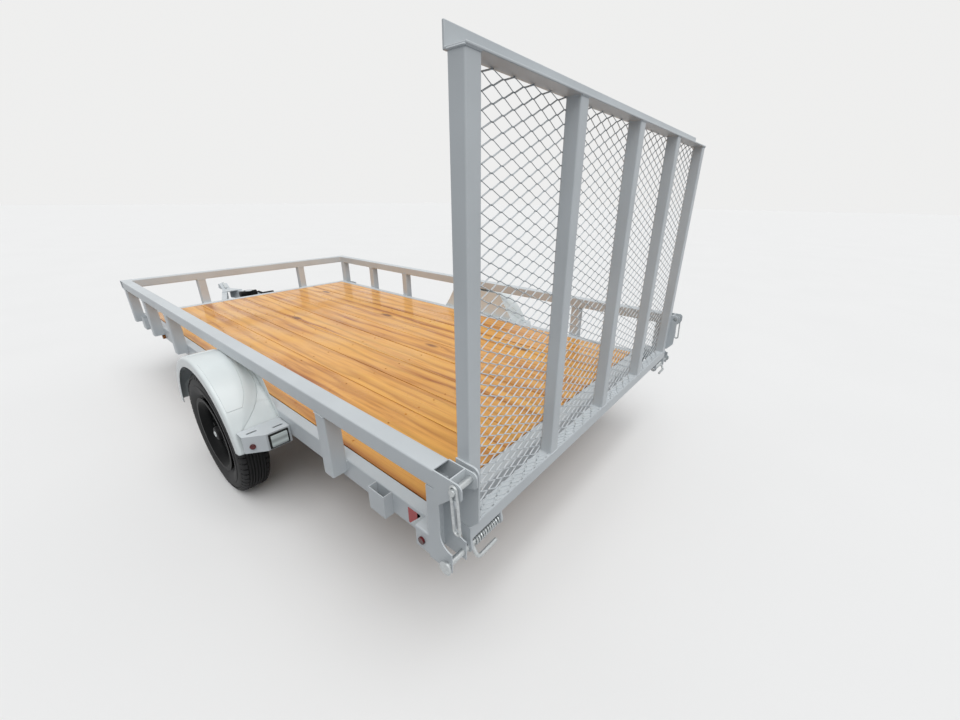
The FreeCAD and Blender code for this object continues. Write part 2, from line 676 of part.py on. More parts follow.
def make_coupler():
    """Pressed ball coupler: a wedge plate on the tongue rails and a hollow nose."""
    wall = S.coupler_wall
    zero = as_size(0)
    outside = S.socket_radius + wall
    crown = S.socket_skirt + outside
    nose = ball_place - tongue_front - S.frame_thick / 2
    slope_foot = 20 - nose
    slope_head = -outside
    head_rise = crown - 2
    steep = (head_rise - wall) / (slope_head - slope_foot)
    dome = ball("coupler_dome", outside, (ball_place, zero, ball_height))
    skirt = rod("coupler_skirt", outside, S.socket_skirt, (ball_place, zero, tongue_top))
    side_view = [(-nose - 50, wall), (-nose - 50, zero), (zero, zero), (zero, crown - 6),
                 (slope_head, head_rise), (slope_foot, wall)]
    neck = prism("coupler_neck", "XZ", [side_view], 2 * outside, (ball_place, -outside, tongue_top))
    rear_side = tongue_side(tongue_front - 110) + S.frame_thick / 2
    wedge = [(as_size(-110), -rear_side), (as_size(30), -outside), (as_size(30), outside),
             (as_size(-110), rear_side)]
    plate = prism("coupler_plate", "XY", [wedge], wall, (tongue_front, zero, tongue_top))
    below = as_size(-20)
    hollow = prism("coupler_hollow", "XZ",
                   [[(slope_foot + 5, below), (zero, below), (zero, head_rise - 2 * wall),
                     (slope_head, head_rise - 1.3 * wall), (slope_foot + 5, as_size(2))]],
                   2 * outside - 2 * wall, (ball_place, wall - outside, tongue_top))
    cup = rod("coupler_cup", outside, crown, (ball_place, zero, tongue_top))
    under = box("coupler_under", (outside * 4, outside * 4, outside * 2),
                (ball_place - outside * 2, -2 * outside, tongue_top - outside * 2))
    room = fused("coupler_room", cut("coupler_channel", hollow, cup), under)
    socket = ball("coupler_socket", S.socket_radius, (ball_place, zero, ball_height))
    mouth = rod("coupler_mouth", S.socket_radius, S.socket_skirt + 20,
                (ball_place, zero, tongue_top - 20))
    solid = fused("coupler_solid", dome, skirt, neck, plate)
    node("coupler", cut("coupler_body", solid, room, socket, mouth))

    def above_slope(along, gap):
        return wall + (along - slope_foot) * steep + gap

    rest = slope_foot + 4
    tip = slope_head - 2
    gap = as_size(0.5)
    lever = [(rest, above_slope(rest, gap)), (tip, above_slope(tip, gap)),
             (tip + 8, above_slope(tip, gap) + 6), (tip + 4, above_slope(tip, gap) + 14),
             (rest - 4, above_slope(rest, gap) + 12), (rest - 16, above_slope(rest, gap) + 4)]
    latch_width = as_size(16)
    node("coupler_latch", prism("latch_lever", "XZ", [lever], latch_width,
                                (ball_place, -latch_width / 2, tongue_top)))


def make_jack():
    """Jack between the tongue rails: outer tube, geared head with a crank, and the leg."""
    zero = as_size(0)
    height = S.jack_top - S.jack_foot_drop
    place = jack_place
    outer = rod("jack_outer", S.jack_radius, height, (place, zero, S.jack_foot_drop))
    bore = rod("jack_bore", S.jack_radius - S.jack_wall, height - 20, (place, zero, S.jack_foot_drop))
    half_long = as_size(80)
    inset = S.frame_thick / 2 / cosine(S.tongue_angle)
    rear_side = tongue_side(place - half_long) - inset
    front_side = tongue_side(place + half_long) - inset
    plate = prism("jack_plate", "XY",
                  [[(-half_long, -rear_side), (half_long, -front_side), (half_long, front_side),
                    (-half_long, rear_side)]],
                  S.mount_wall, (place, zero, tongue_top - S.mount_drop),
                  [(zero, side * 90, as_size(11)) for side in (-1, 1)])
    node("jack_tube", cut("jack_body", fused("jack_shell", outer, plate), bore))
    case_radius = as_size(23)
    case_height = S.jack_top - case_radius
    case = rod("gear_case", case_radius, 130, (place, as_size(-60), case_height), ALONG_Y)
    cap = rod("gear_cap", S.jack_radius + 6, 2 * case_radius, (place, zero, case_height - case_radius))
    clear = rod("gear_clear", S.jack_radius + S.seat_gap, height, (place, zero, S.jack_foot_drop))
    shaft = rod("crank_shaft", 7, 24, (place, as_size(-84), case_height), ALONG_Y)
    arm = box("crank_arm", (as_size(110), as_size(8), as_size(16)),
              (place - 102, as_size(-84), case_height - 8))
    grip = rod("crank_grip", 12, 80, (place - 92, as_size(-164), case_height), ALONG_Y)
    node("jack_crank", cut("crank_body", fused("crank_joined", case, cap, shaft, arm, grip), clear))
    leg = rod("jack_inner", leg_radius, S.leg_top - S.foot_thick, (place, zero, S.foot_thick))
    foot = rod("jack_foot", S.foot_radius, S.foot_thick, (place, zero, zero))
    node("jack_leg", fused("jack_leg_joined", leg, foot))


def leaf_outline(reaches, radius, thick):
    """A leaf, flat on its seat and bowed up towards its ends."""
    seat = S.spring_seat
    rises = [(seat, as_size(0))]
    rises += [(reach, radius - leg_of(radius, reach - seat)) for reach in reaches]
    lower = [(-reach, rise) for reach, rise in reversed(rises)] + rises
    return lower + [(reach, rise + thick) for reach, rise in reversed(lower)]


def make_suspension():
    """Axle tube on two bowed packs of leaves, hung from the side rails."""
    zero = as_size(0)
    tube_end = wheel_offset - S.tyre_width / 2 - 5
    spindle_end = wheel_offset + 26
    tube = rod("axle_tube", S.axle_radius, 2 * tube_end, (S.axle_place, -tube_end, axle_height), ALONG_Y)
    spindle = rod("axle_spindle", S.spindle_radius, 2 * spindle_end,
                  (S.axle_place, -spindle_end, axle_height), ALONG_Y)
    pad_top = axle_height + S.axle_radius + 3
    pad = box("spring_pad", (as_size(90), S.spring_width, as_size(20)),
              (S.axle_place - 45, spring_line - S.spring_width / 2, pad_top - 20))
    node("axle_beam", fused("axle_joined", tube, spindle, pad, mirrored("spring_pad_mirror", pad)))

    leaf_count = 3
    reaches = [S.spring_reach * (i + 1) / leaf_count for i in range(leaf_count)]
    leaves = [prism(f"leaf_{i}", "XZ", [leaf_outline(reaches[:i + 1], S.spring_radius, S.leaf_thick)],
                    S.spring_width,
                    (S.axle_place, spring_line - S.spring_width / 2, pad_top + S.leaf_thick * i))
              for i in range(leaf_count)]
    main_top = pad_top + leaf_count * S.leaf_thick
    end_rise = S.spring_radius - leg_of(S.spring_radius, S.spring_reach - S.spring_seat)
    eye_height = main_top + end_rise + S.eye_radius - 4
    eyes = []
    for i, side in enumerate((-1, 1)):
        eyes.append(rod(f"spring_eye_{i}", S.eye_radius, S.spring_width,
                        (S.axle_place + side * (S.spring_reach + S.eye_radius - 6),
                         spring_line - S.spring_width / 2, eye_height), ALONG_Y))
    bores = [rod(f"eye_bore_{i}", S.bolt_radius + S.running_gap, S.spring_width + 20,
                 (S.axle_place + side * (S.spring_reach + S.eye_radius - 6),
                  spring_line - S.spring_width / 2 - 10, eye_height), ALONG_Y)
             for i, side in enumerate((-1, 1))]
    pair("leaf_spring", cut("spring_pack", fused("spring_joined", *leaves, *eyes), *bores))

    hangers = []
    for i, side in enumerate((-1, 1)):
        eye_place = S.axle_place + side * (S.spring_reach + S.eye_radius - 6)
        half_width = S.spring_width / 2 + S.seat_gap
        drop = frame_under - eye_height + 16
        half_long = as_size(26)
        cheek = [(-half_long, as_size(0)), (as_size(-12), -drop), (as_size(12), -drop), (half_long, as_size(0))]
        for k, face in enumerate((half_width, -half_width - S.hanger_wall)):
            hangers.append(prism(f"hanger_cheek_{i}{k}", "XZ", [cheek], S.hanger_wall,
                                 (eye_place, spring_line + face, frame_under)))
        reach = S.spring_width + 2 * S.hanger_wall + 12
        hangers.append(rod(f"eye_bolt_{i}", S.bolt_radius, reach,
                           (eye_place, spring_line - reach / 2, eye_height), ALONG_Y))
    left_rear = fused("hanger_rear", *hangers[:3])
    left_front = fused("hanger_front", *hangers[3:])
    node("spring_hangers", left_rear, left_front,
         mirrored("hanger_rear_mirror", left_rear), mirrored("hanger_front_mirror", left_front))

    plate = box("clamp_plate", (2 * S.spring_seat, S.spring_width + 50, as_size(8)),
                (S.axle_place - S.spring_seat, spring_line - S.spring_width / 2 - 25, main_top))
    straight = main_top - axle_height + 22
    parts = [plate]
    gap = S.spring_width / 2 + S.ubolt_radius + S.seat_gap
    bend = S.axle_radius + S.ubolt_radius + S.seat_gap
    bar = 2 * S.ubolt_radius
    for i, side in enumerate((-1, 1)):
        for k, end in enumerate((-1, 1)):
            parts.append(box(f"ubolt_leg_{i}{k}", (bar, bar, straight),
                             (S.axle_place + end * bend - S.ubolt_radius,
                              spring_line + side * gap - S.ubolt_radius, axle_height)))
        outside = bend + S.ubolt_radius
        inside = bend - S.ubolt_radius
        half_ring = [(-outside, zero), arc_to(zero, -outside, outside, 1), arc_to(outside, zero, outside, 1),
                     (inside, zero), arc_to(zero, -inside, inside, -1), arc_to(-inside, zero, inside, -1)]
        parts.append(prism(f"ubolt_bow_{i}", "XZ", [half_ring], bar,
                           (S.axle_place, spring_line + side * gap - S.ubolt_radius, axle_height)))
    clamp = fused("axle_clamp", *parts)
    node("axle_clamps", clamp, mirrored("axle_clamp_mirror", clamp))


def make_wheel():
    """Trailer tyre on a dished steel wheel, turning on the spindle with its hub."""
    place = (S.axle_place, wheel_offset, axle_height)
    half = S.tyre_width / 2
    tread = half - 16
    bead = S.rim_width / 2 - S.rim_wall
    inner = S.rim_radius + S.seat_gap
    tyre_profile = [
        (-bead, inner), (bead, inner), (bead, inner + 13), (half, S.tyre_radius - 55),
        (tread, S.tyre_radius), (-tread, S.tyre_radius), (-half, S.tyre_radius - 55), (-bead, inner + 13),
    ]
    pair("tyre", revolved("tyre_turned", tyre_profile, place))

    wall = S.rim_wall
    seat = S.rim_radius
    edge = S.rim_width / 2
    flange_top = seat + 12
    well = seat - 20
    barrel_profile = [
        (-edge, flange_top), (-edge, seat - wall), (12 - edge, well - wall), (edge - 26, well - wall),
        (edge, seat - wall), (edge, flange_top), (edge - wall, flange_top), (edge - wall, seat),
        (edge - 24, well), (14 - edge, well), (wall - edge, seat), (wall - edge, flange_top),
    ]
    barrel = revolved("rim_barrel", barrel_profile, place)
    bore = S.hub_radius + S.running_gap
    disc_face = as_size(12)
    disc_profile = [
        (disc_face, bore), (disc_face + wall, bore), (disc_face + wall, well - wall + 1),
        (disc_face, well - wall + 1),
    ]
    disc = revolved("rim_disc", disc_profile, place)
    window_count = 8
    windows = []
    for i in range(window_count):
        angle = 360.0 * i / window_count
        across = S.window_circle * math.cos(math.radians(angle))
        up = S.window_circle * math.sin(math.radians(angle))
        window = upright_bar(f"rim_window_{i}", 8, S.window_radius, 60)
        put_at(window, (S.axle_place + across, wheel_offset, axle_height + up), ALONG_Y)
        windows.append(window)
    wheel = cut("rim_body", fused("rim_joined", barrel, disc), *windows)
    pair("wheel_rim", wheel)

    spindle_bore = S.spindle_radius + S.running_gap
    inner_end = 10 - half
    spindle_room = as_size(30)
    nose = as_size(52)
    flange = as_size(66)
    hub_profile = [
        (inner_end, spindle_bore), (spindle_room, spindle_bore), (spindle_room, as_size(0)),
        (nose, as_size(0)), (nose, S.hub_radius - 6), (disc_face, S.hub_radius), (disc_face, flange),
        (disc_face - 8, flange), (disc_face - 8, S.hub_radius), (inner_end, S.hub_radius),
    ]
    hub_shell = revolved("hub_turned", hub_profile, place)
    nuts = []
    nut_count = 5
    stud_circle = as_size(57.15)
    for i in range(nut_count):
        angle = 90 + 360.0 * i / nut_count
        across = stud_circle * math.cos(math.radians(angle))
        up = stud_circle * math.sin(math.radians(angle))
        nut = upright_bar(f"lug_nut_{i}", 6, 11, 18)
        put_at(nut, (S.axle_place + across, wheel_offset + disc_face + wall, axle_height + up), ALONG_Y)
        nuts.append(nut)
    node("hub_left", hub_shell)
    node("hub_right", mirrored("hub_mirror", hub_shell))
    node("lug_nuts_left", *nuts)
    node("lug_nuts_right", *[mirrored(f"lug_nut_mirror_{i}", nut) for i, nut in enumerate(nuts)])


def make_gate():
    """Ramp gate: five square tubes between two angles, with mesh on the deck side."""
    upright_count = 5
    square = tube_outlines(S.gate_tube, S.gate_tube, S.gate_wall)
    foot = S.rail_top - S.gate_foot
    rise = S.gate_foot + S.gate_rise
    pitch = (gate_width - S.gate_tube) / (upright_count - 1)
    uprights = [prism(f"gate_upright_{i}", "XY", square, rise,
                      (S.gate_back, pitch * i - gate_side, foot)) for i in range(upright_count)]
    node("gate_uprights", *uprights)

    wall = S.gate_angle_wall
    head = foot + rise
    front = gate_front + S.mesh_thick * 2 + S.seat_gap * 2
    top_legs = angle_outline(-(front + wall), S.gate_angle, wall)
    node("gate_top_angle",
         prism("gate_top", "XZ", [top_legs], gate_width, (front + wall, -gate_side, head)))
    bottom_legs = angle_outline(S.gate_angle, -S.gate_angle, wall)
    bottom = prism("gate_bottom", "XZ", [bottom_legs], gate_width, (S.gate_back, -gate_side, foot))
    eye_thick = as_size(6)
    hole = S.pin_radius + S.running_gap
    drop = foot - wall - hinge_height
    ring = S.pin_radius + 6
    zero = as_size(0)
    web = gate_front - S.hinge_place - 4
    eye_outline = [(web, drop), (S.gate_back + wall - S.hinge_place, drop), (-ring, zero),
                   arc_to(zero, -ring, ring, 1), arc_to(ring, zero, ring, 1)]
    eyes = []
    for i, face in enumerate((gate_side - eye_thick, gate_side - S.hinge_pitch)):
        eyes.append(prism(f"gate_eye_{i}", "XZ", [eye_outline], eye_thick,
                          (S.hinge_place, face, hinge_height), [(zero, zero, hole)]))
    eyes += [mirrored(f"gate_eye_mirror_{i}", eye) for i, eye in enumerate(eyes)]
    node("gate_bottom_angle", fused("gate_bottom_joined", bottom, *eyes))

    lug_top = as_size(2)
    lug_foot = S.gate_foot - 10
    corner = as_size(16)
    lug_outline = [
        (gate_front, -lug_foot), (gate_front, lug_top), (corner - S.lug_reach, lug_top),
        arc_to(-S.lug_reach, lug_top - corner, corner, 1), (-S.lug_reach, -lug_foot + 30),
        (as_size(-2), -lug_foot),
    ]
    lug = prism("gate_lug", "XZ", [lug_outline], S.lug_wall, (zero, gate_side, S.rail_top),
                [(-S.latch_back, -S.latch_drop, S.pin_radius + 1)])
    node("gate_lugs", lug, mirrored("gate_lug_mirror", lug))

    pin_inner = gate_side - S.hinge_pitch - 10
    pin_outer = rail_face + 8
    pin = rod("hinge_pin", S.pin_radius, pin_outer - pin_inner, (S.hinge_place, pin_inner, hinge_height), ALONG_Y)
    head_disc = rod("pin_head", 18, 6, (S.hinge_place, pin_outer, hinge_height), ALONG_Y)
    handle_side = gate_side - eye_thick - 7
    grip = S.pin_grip
    grip_radius = as_size(5)
    handle = rod("pin_handle", grip_radius, grip + grip_radius,
                 (S.hinge_place, handle_side, hinge_height - grip - grip_radius))
    handle_bar = rod("pin_handle_bar", grip_radius - 0.5, grip + 12,
                     (S.hinge_place, handle_side - grip - 10, hinge_height - grip), ALONG_Y)
    pin_body = fused("hinge_pin_joined", pin, head_disc, handle, handle_bar)
    node("gate_hinge_pins", pin_body, mirrored("hinge_pin_mirror", pin_body))

    coil_inner = S.pin_radius + S.seat_gap
    coil_low = gate_side - S.hinge_pitch + eye_thick + S.seat_gap
    coil_high = handle_side - 6
    coil_outer = coil_inner + 4.5
    coil_profile = [(coil_low, coil_inner), (coil_high, coil_inner), (coil_high, coil_outer),
                    (coil_low, coil_outer)]
    spring = revolved("pin_spring", coil_profile, (S.hinge_place, zero, hinge_height))
    node("gate_pin_springs", spring, mirrored("pin_spring_mirror", spring))
    make_mesh(foot, head)


def clipped_strip(across, slope, half, wide, low, high):
    """Corners of a slanted slot cut off at the panel's margins, or None outside them."""
    def level(side_shift, x):
        return across + slope * x + side_shift

    corners = []
    for x, y in ((-wide, level(-half, -wide)), (wide, level(-half, wide)),
                 (wide, level(half, wide)), (-wide, level(half, -wide))):
        corners.append((x, y))
    for limit, keep_below in ((high, True), (low, False)):
        kept = []
        for i, (x, y) in enumerate(corners):
            before_x, before_y = corners[i - 1]
            inside = y <= limit if keep_below else y >= limit
            was_inside = before_y <= limit if keep_below else before_y >= limit
            if inside != was_inside:
                share = (limit - before_y) / (y - before_y)
                kept.append((before_x + share * (x - before_x), limit))
            if inside:
                kept.append((x, y))
        corners = kept
        if len(corners) < 3:
            return None
    return corners


def wire_of(corners, along):
    points = [FreeCAD.Vector(along, x, y) for x, y in corners]
    return Part.makePolygon(points + points[:1])


def mesh_layer(name, along, lean, foot, head):
    """One set of strands: a thin plate with slanted slots, so two layers make diamonds."""
    margin = S.mesh_edge.number
    wide = gate_side.number - margin
    low = foot + margin
    high = head - margin
    slope = lean * S.mesh_short.number / S.mesh_long.number
    strand_up = S.mesh_strand.number * math.hypot(S.mesh_long.number, S.mesh_short.number) / S.mesh_long.number
    half = (S.mesh_short.number - strand_up) / 2
    rise = abs(slope) * wide
    count = int((high - low + 2 * rise) / S.mesh_short.number) + 1
    outer = gate_side.number
    wires = [wire_of([(-outer, foot), (outer, foot), (outer, head), (-outer, head)], along)]
    for i in range(count + 1):
        level = low - rise + S.mesh_short.number * i
        corners = clipped_strip(level, slope, half, wide, low, high)
        if corners and polygon_area(corners) > S.mesh_strand.number ** 2:
            wires.append(wire_of(corners, along))
    face = Part.makeFace(wires, "Part::FaceMakerBullseye")
    layer = doc.addObject("Part::Feature", name)
    layer.Shape = face.extrude(FreeCAD.Vector(S.mesh_thick.number, 0, 0))
    return put_at(layer, (as_size(0), as_size(0), as_size(0)))


def polygon_area(corners):
    total = 0.0
    for i, (x, y) in enumerate(corners):
        before_x, before_y = corners[i - 1]
        total += before_x * y - x * before_y
    return abs(total) / 2


def make_mesh(foot, head):
    """Expanded metal welded to the deck side of the gate's uprights."""
    first = gate_front.number
    second = first + S.mesh_thick.number + S.seat_gap.number
    layers = [mesh_layer("mesh_rising", first, 1, foot.number, head.number),
              mesh_layer("mesh_falling", second, -1, foot.number, head.number)]
    node("gate_mesh", *layers)


def write_parts():
    """Check every object and each sub-part, then write one file for each sub-part."""
    doc.recompute()
    for thing in doc.Objects:
        if "Invalid" in thing.State or "Error" in thing.State:
            raise RuntimeError(f"{thing.Name} failed: {thing.State}")
    for thing in nodes:
        if thing.Shape.isNull() or not thing.Shape.isValid() or not thing.Shape.Solids:
            raise RuntimeError(f"{thing.Label} has no valid solid")
    os.makedirs("parts", exist_ok=True)
    for thing in nodes:
        thing.Shape.exportStep(f"parts/{thing.Label}.step")


make_frame()
make_deck()
make_rails()
make_posts()
make_snap_links()
make_fender()
make_lamp_bracket()
make_markers()
make_stake_pockets()
make_tongue()
make_coupler()
make_jack()
make_suspension()
make_wheel()
make_gate()
write_parts()
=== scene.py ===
"""Looks of a single axle utility trailer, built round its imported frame.

Everything is in metres. +X points to the coupler, +Y to the left side and +Z up.
"""
import math
import random

import bmesh
import bpy
from mathutils import Matrix, Vector


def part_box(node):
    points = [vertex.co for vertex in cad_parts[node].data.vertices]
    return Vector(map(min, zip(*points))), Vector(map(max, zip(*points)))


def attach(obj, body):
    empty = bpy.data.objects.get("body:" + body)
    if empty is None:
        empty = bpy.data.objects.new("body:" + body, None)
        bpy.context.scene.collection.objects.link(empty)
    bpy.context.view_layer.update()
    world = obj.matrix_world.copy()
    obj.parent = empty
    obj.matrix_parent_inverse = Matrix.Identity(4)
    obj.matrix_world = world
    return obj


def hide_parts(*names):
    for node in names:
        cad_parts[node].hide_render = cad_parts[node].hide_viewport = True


bl_info = {
    "name": "Utility trailer",
    "version": (1, 0, 0),
    "blender": (4, 5, 0),
    "location": "View3D > Sidebar > Trailer",
    "description": "Dresses the packed frame of a utility trailer",
    "category": "Object",
}

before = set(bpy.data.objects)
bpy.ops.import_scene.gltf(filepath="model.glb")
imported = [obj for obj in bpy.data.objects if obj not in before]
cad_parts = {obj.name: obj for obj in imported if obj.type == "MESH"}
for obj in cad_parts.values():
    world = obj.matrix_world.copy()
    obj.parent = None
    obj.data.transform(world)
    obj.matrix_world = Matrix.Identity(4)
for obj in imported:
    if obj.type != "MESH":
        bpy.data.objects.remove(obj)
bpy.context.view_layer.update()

SIDES = (("left", 1), ("right", -1))
X_AXIS = 0
FULL_TURN = 2 * math.pi
WHITE = (1.0, 1.0, 1.0)
FRAME_WALL = 0.003
GATE_WALL = 0.0025
FENDER_SHEET = 0.0025


def hex_colour(code):
    """Turn an sRGB hex colour into linear red, green and blue."""
    channels = [int(code[i:i + 2], 16) / 255 for i in (1, 3, 5)]
    return tuple(c / 12.92 if c <= 0.04045 else ((c + 0.055) / 1.055) ** 2.4 for c in channels)


def colour_property(name, description, code):
    return bpy.props.FloatVectorProperty(
        name=name, description=description, subtype="COLOR", size=3, min=0, max=1, default=hex_colour(code))


def length_property(name, description, default):
    return bpy.props.FloatProperty(
        name=name, description=description, default=default, min=0, precision=4,
        subtype="DISTANCE", unit="LENGTH")


def angle_property(name, description, degrees):
    return bpy.props.FloatProperty(
        name=name, description=description, subtype="ANGLE", default=math.radians(degrees))


def strength_property(name, description, default):
    return bpy.props.FloatProperty(name=name, description=description, default=default, min=0)


class TrailerStageSettings(bpy.types.PropertyGroup):
    camera_place: bpy.props.FloatVectorProperty(
        name="Camera place", description="Where the camera stands", size=3,
        subtype="TRANSLATION", unit="LENGTH", default=(-2.38967, 1.25396, 1.19567))
    heading: angle_property("Heading", "Direction the camera looks in, about the vertical", -51.038)
    tilt: angle_property("Tilt", "How far the camera looks up", -22.417)
    roll: angle_property("Roll", "Turn of the camera about its view", 0.613)
    lens: bpy.props.FloatProperty(
        name="Lens", description="Focal length on a 36 mm sensor", subtype="DISTANCE_CAMERA", default=14.497)
    floor_colour: colour_property("Floor", "Colour of the pale floor", "#eeedec")
    bounce_colour: colour_property("Bounce", "Colour that the floor throws up at the trailer", "#74767a")
    sky_power: strength_property("Surround", "Strength of the even light from all round", 0.44)
    overcast_power: strength_property("Overcast", "Strength of the soft light from overhead", 2.05)
    overcast_spread: angle_property("Overcast spread", "How wide the overhead light is in the sky", 60)


class TrailerSteelSettings(bpy.types.PropertyGroup):
    corner: length_property("Tube corner", "Outside radius of a square tube's corners", 0.005)
    weld_width: length_property("Weld width", "Width of a weld bead", 0.006)
    weld_ripple: length_property("Weld ripple", "Distance between two ripples of a bead", 0.003)
    coat: colour_property("Powder coat", "Silver grey of the frame", "#cbd0d3")
    crown_coat: colour_property("Fender coat", "Paler grey of the fenders", "#dde3e3")


class TrailerDeckSettings(bpy.types.PropertyGroup):
    edge: length_property("Board edge", "Radius of a board's eased edges", 0.0016)
    screw_radius: length_property("Screw head", "Radius of a deck screw's head", 0.0038)
    early_wood: colour_property("Early wood", "Pale wood between the rings", "#ecac54")
    late_wood: colour_property("Late wood", "Dark line of a ring", "#a45a17")
    knot: colour_property("Knot", "Heart of a knot", "#6b3a12")


class TrailerGateSettings(bpy.types.PropertyGroup):
    diamond_long: length_property("Diamond length", "Long way of one mesh diamond", 0.0635)
    diamond_short: length_property("Diamond height", "Short way of one mesh diamond", 0.0275)
    strand_width: length_property("Strand width", "Width of a mesh strand", 0.0030)
    strand_thick: length_property("Strand thickness", "Thickness of a mesh strand", 0.0016)
    bond: length_property("Bond", "Length over which two strands stay joined", 0.005)
    spring_wire: length_property("Spring wire", "Radius of the pin springs' wire", 0.0023)
    link_wire: length_property("Link wire", "Radius of the snap links' wire", 0.0033)
    link_width: length_property("Link width", "Width of a snap link over all", 0.024)


class TrailerWheelSettings(bpy.types.PropertyGroup):
    groove: length_property("Groove depth", "Depth of the tread's grooves", 0.007)
    block_gap: length_property("Block gap", "Gap between two shoulder blocks", 0.006)
    blocks: bpy.props.IntProperty(
        name="Shoulder blocks", description="Blocks round each shoulder of the tread", default=58, min=8)
    rubber: colour_property("Rubber", "Colour of a new tyre", "#202021")
    enamel: colour_property("Wheel enamel", "Satin black of the wheels", "#0c0d0e")


class TrailerLampSettings(bpy.types.PropertyGroup):
    red: colour_property("Red lens", "Colour of the red markers", "#5c0a10")
    amber: colour_property("Amber lens", "Colour of the amber markers", "#cc7a26")
    tape_red: colour_property("Red tape", "Red squares of the reflective tape", "#b80f16")
    tape_white: colour_property("White tape", "White squares of the reflective tape", "#dfe4e4")


SETTINGS = (
    ("trailer_stage", TrailerStageSettings),
    ("trailer_steel", TrailerSteelSettings),
    ("trailer_deck", TrailerDeckSettings),
    ("trailer_gate", TrailerGateSettings),
    ("trailer_wheel", TrailerWheelSettings),
    ("trailer_lamp", TrailerLampSettings),
)


def set_inputs(tree, node, inputs):
    """Give a node's inputs their values, or link them where a (node, output) pair is given."""
    for name, value in inputs.items():
        if isinstance(value, tuple) and isinstance(value[0], bpy.types.Node):
            source, output = value
            tree.links.new(source.outputs[output], node.inputs[name])
        else:
            node.inputs[name].default_value = value


def add_node(tree, kind, inputs=None, **options):
    """Add a shader node with its options and inputs."""
    node = tree.nodes.new("ShaderNode" + kind)
    for name, value in options.items():
        setattr(node, name, value)
    set_inputs(tree, node, inputs or {})
    return node


def new_material(name, **surface):
    """A material with a Principled shader; returns it, its tree and the shader."""
    material = bpy.data.materials.new(name)
    material.use_nodes = True
    tree = material.node_tree
    shader = tree.nodes["Principled BSDF"]
    set_inputs(tree, shader, {socket.replace("_", " "): value for socket, value in surface.items()})
    return material, tree, shader


def rgba(colour, factor=1.0):
    """A colour for a socket, made darker or lighter by a factor."""
    return (*[min(channel * factor, 1.0) for channel in colour[:3]], 1.0)


def per_metre(millimetres):
    """Texture scale at which one feature is as long as the given millimetres."""
    return 1000.0 / millimetres


# The helpers below take and return (node, output) pairs.

def object_place(tree):
    return add_node(tree, "TexCoord"), "Object"


def add_ramp(tree, source, steps):
    """A colour ramp with (place, colour, factor) steps."""
    ramp = add_node(tree, "ValToRGB", {"Fac": source})
    elements = ramp.color_ramp.elements
    while len(elements) < len(steps):
        elements.new(0.5)
    for element, (place, colour, factor) in zip(elements, steps):
        element.position = place
        element.color = rgba(colour, factor)
    return ramp, "Color"


def add_noise(tree, place, millimetres, detail=2.0):
    """Noise whose features are as long as the given millimetres."""
    inputs = {"Scale": per_metre(millimetres), "Detail": detail, "Vector": place}
    return add_node(tree, "TexNoise", inputs), "Fac"


def add_stretched_noise(tree, place, scale, detail=2.0, roughness=0.5):
    """Noise with a scale of its own along each axis."""
    stretched = add_node(tree, "Mapping", {"Scale": scale, "Vector": place}), "Vector"
    inputs = {"Scale": 1.0, "Detail": detail, "Roughness": roughness, "Vector": stretched}
    return add_node(tree, "TexNoise", inputs), "Fac"


def add_wave(tree, place, millimetres, **options):
    """Bands the given millimetres apart; at a scale of 1 the node's own are a turn / 20 apart."""
    inputs = {"Scale": per_metre(millimetres) * FULL_TURN / 20, "Vector": place}
    return add_node(tree, "TexWave", inputs, **options), "Fac"


def add_cells(tree, place, millimetres, **options):
    """Cells that are as wide as the given millimetres."""
    inputs = {"Scale": per_metre(millimetres), "Vector": place}
    return add_node(tree, "TexVoronoi", inputs, **options), "Distance"


def add_range(tree, source, before, after, **options):
    """Map a value from one (low, high) range to another."""
    inputs = {"Value": source, "From Min": before[0], "From Max": before[1],
              "To Min": after[0], "To Max": after[1]}
    return add_node(tree, "MapRange", inputs, **options), "Result"


def add_maths(tree, operation, first, second, kind="Math", output="Value"):
    return add_node(tree, kind, {0: first, 1: second}, operation=operation), output


def add_mix(tree, factor, first, second, blend="MIX"):
    """Mix two colours."""
    return add_node(tree, "Mix", {0: factor, 6: first, 7: second}, data_type="RGBA", blend_type=blend), 2


def add_bump(tree, height, strength, distance):
    return add_node(tree, "Bump", {"Height": height, "Strength": strength, "Distance": distance}), "Normal"


def seen_rays(tree):
    """1 for rays that show a thing: straight, mirrored or through glass."""
    ray = add_node(tree, "LightPath")
    direct = add_maths(tree, "MAXIMUM", (ray, "Is Camera Ray"), (ray, "Is Glossy Ray"))
    return add_maths(tree, "MAXIMUM", direct, (ray, "Is Transmission Ray"))


COATINGS = {
    # kind: specular level, (mm, detail) of the patches, (place, factor) of the darkest and the lightest
    # patches, (mm, detail) of the grain, (strength, height) of its relief
    # Powder coat: an even grey with a faint orange peel, coarser than the real one so that it shows
    "powder": (0.5, (180, 3.0), ((0.30, 0.94), (0.70, 1.04)), (2.5, 1.0), (0.12, 0.0003)),
    # Tyre rubber: near black, with a dull bloom that varies in soft patches
    "rubber": (0.25, (60, 4.0), ((0.3, 0.8), (0.75, 1.7)), (1.2, 2.0), (0.2, 0.0002)),
    # Sprayed enamel: deep, smooth and only slightly uneven
    "enamel": (0.12, (25, 3.0), ((0.35, 0.85), (0.7, 1.5)), (25, 3.0), (0.08, 0.0003)),
}


def coated(name, kind, colour, roughness):
    """A coated or moulded surface with soft patches of tone and a fine grain."""
    specular, patches, tones, grain, relief = COATINGS[kind]
    material, tree, shader = new_material(name, Roughness=roughness, Specular_IOR_Level=specular)
    place = object_place(tree)
    steps = [(step, colour, factor) for step, factor in tones]
    set_inputs(tree, shader, {
        "Base Color": add_ramp(tree, add_noise(tree, place, *patches), steps),
        "Normal": add_bump(tree, add_noise(tree, place, *grain), *relief)})
    return material


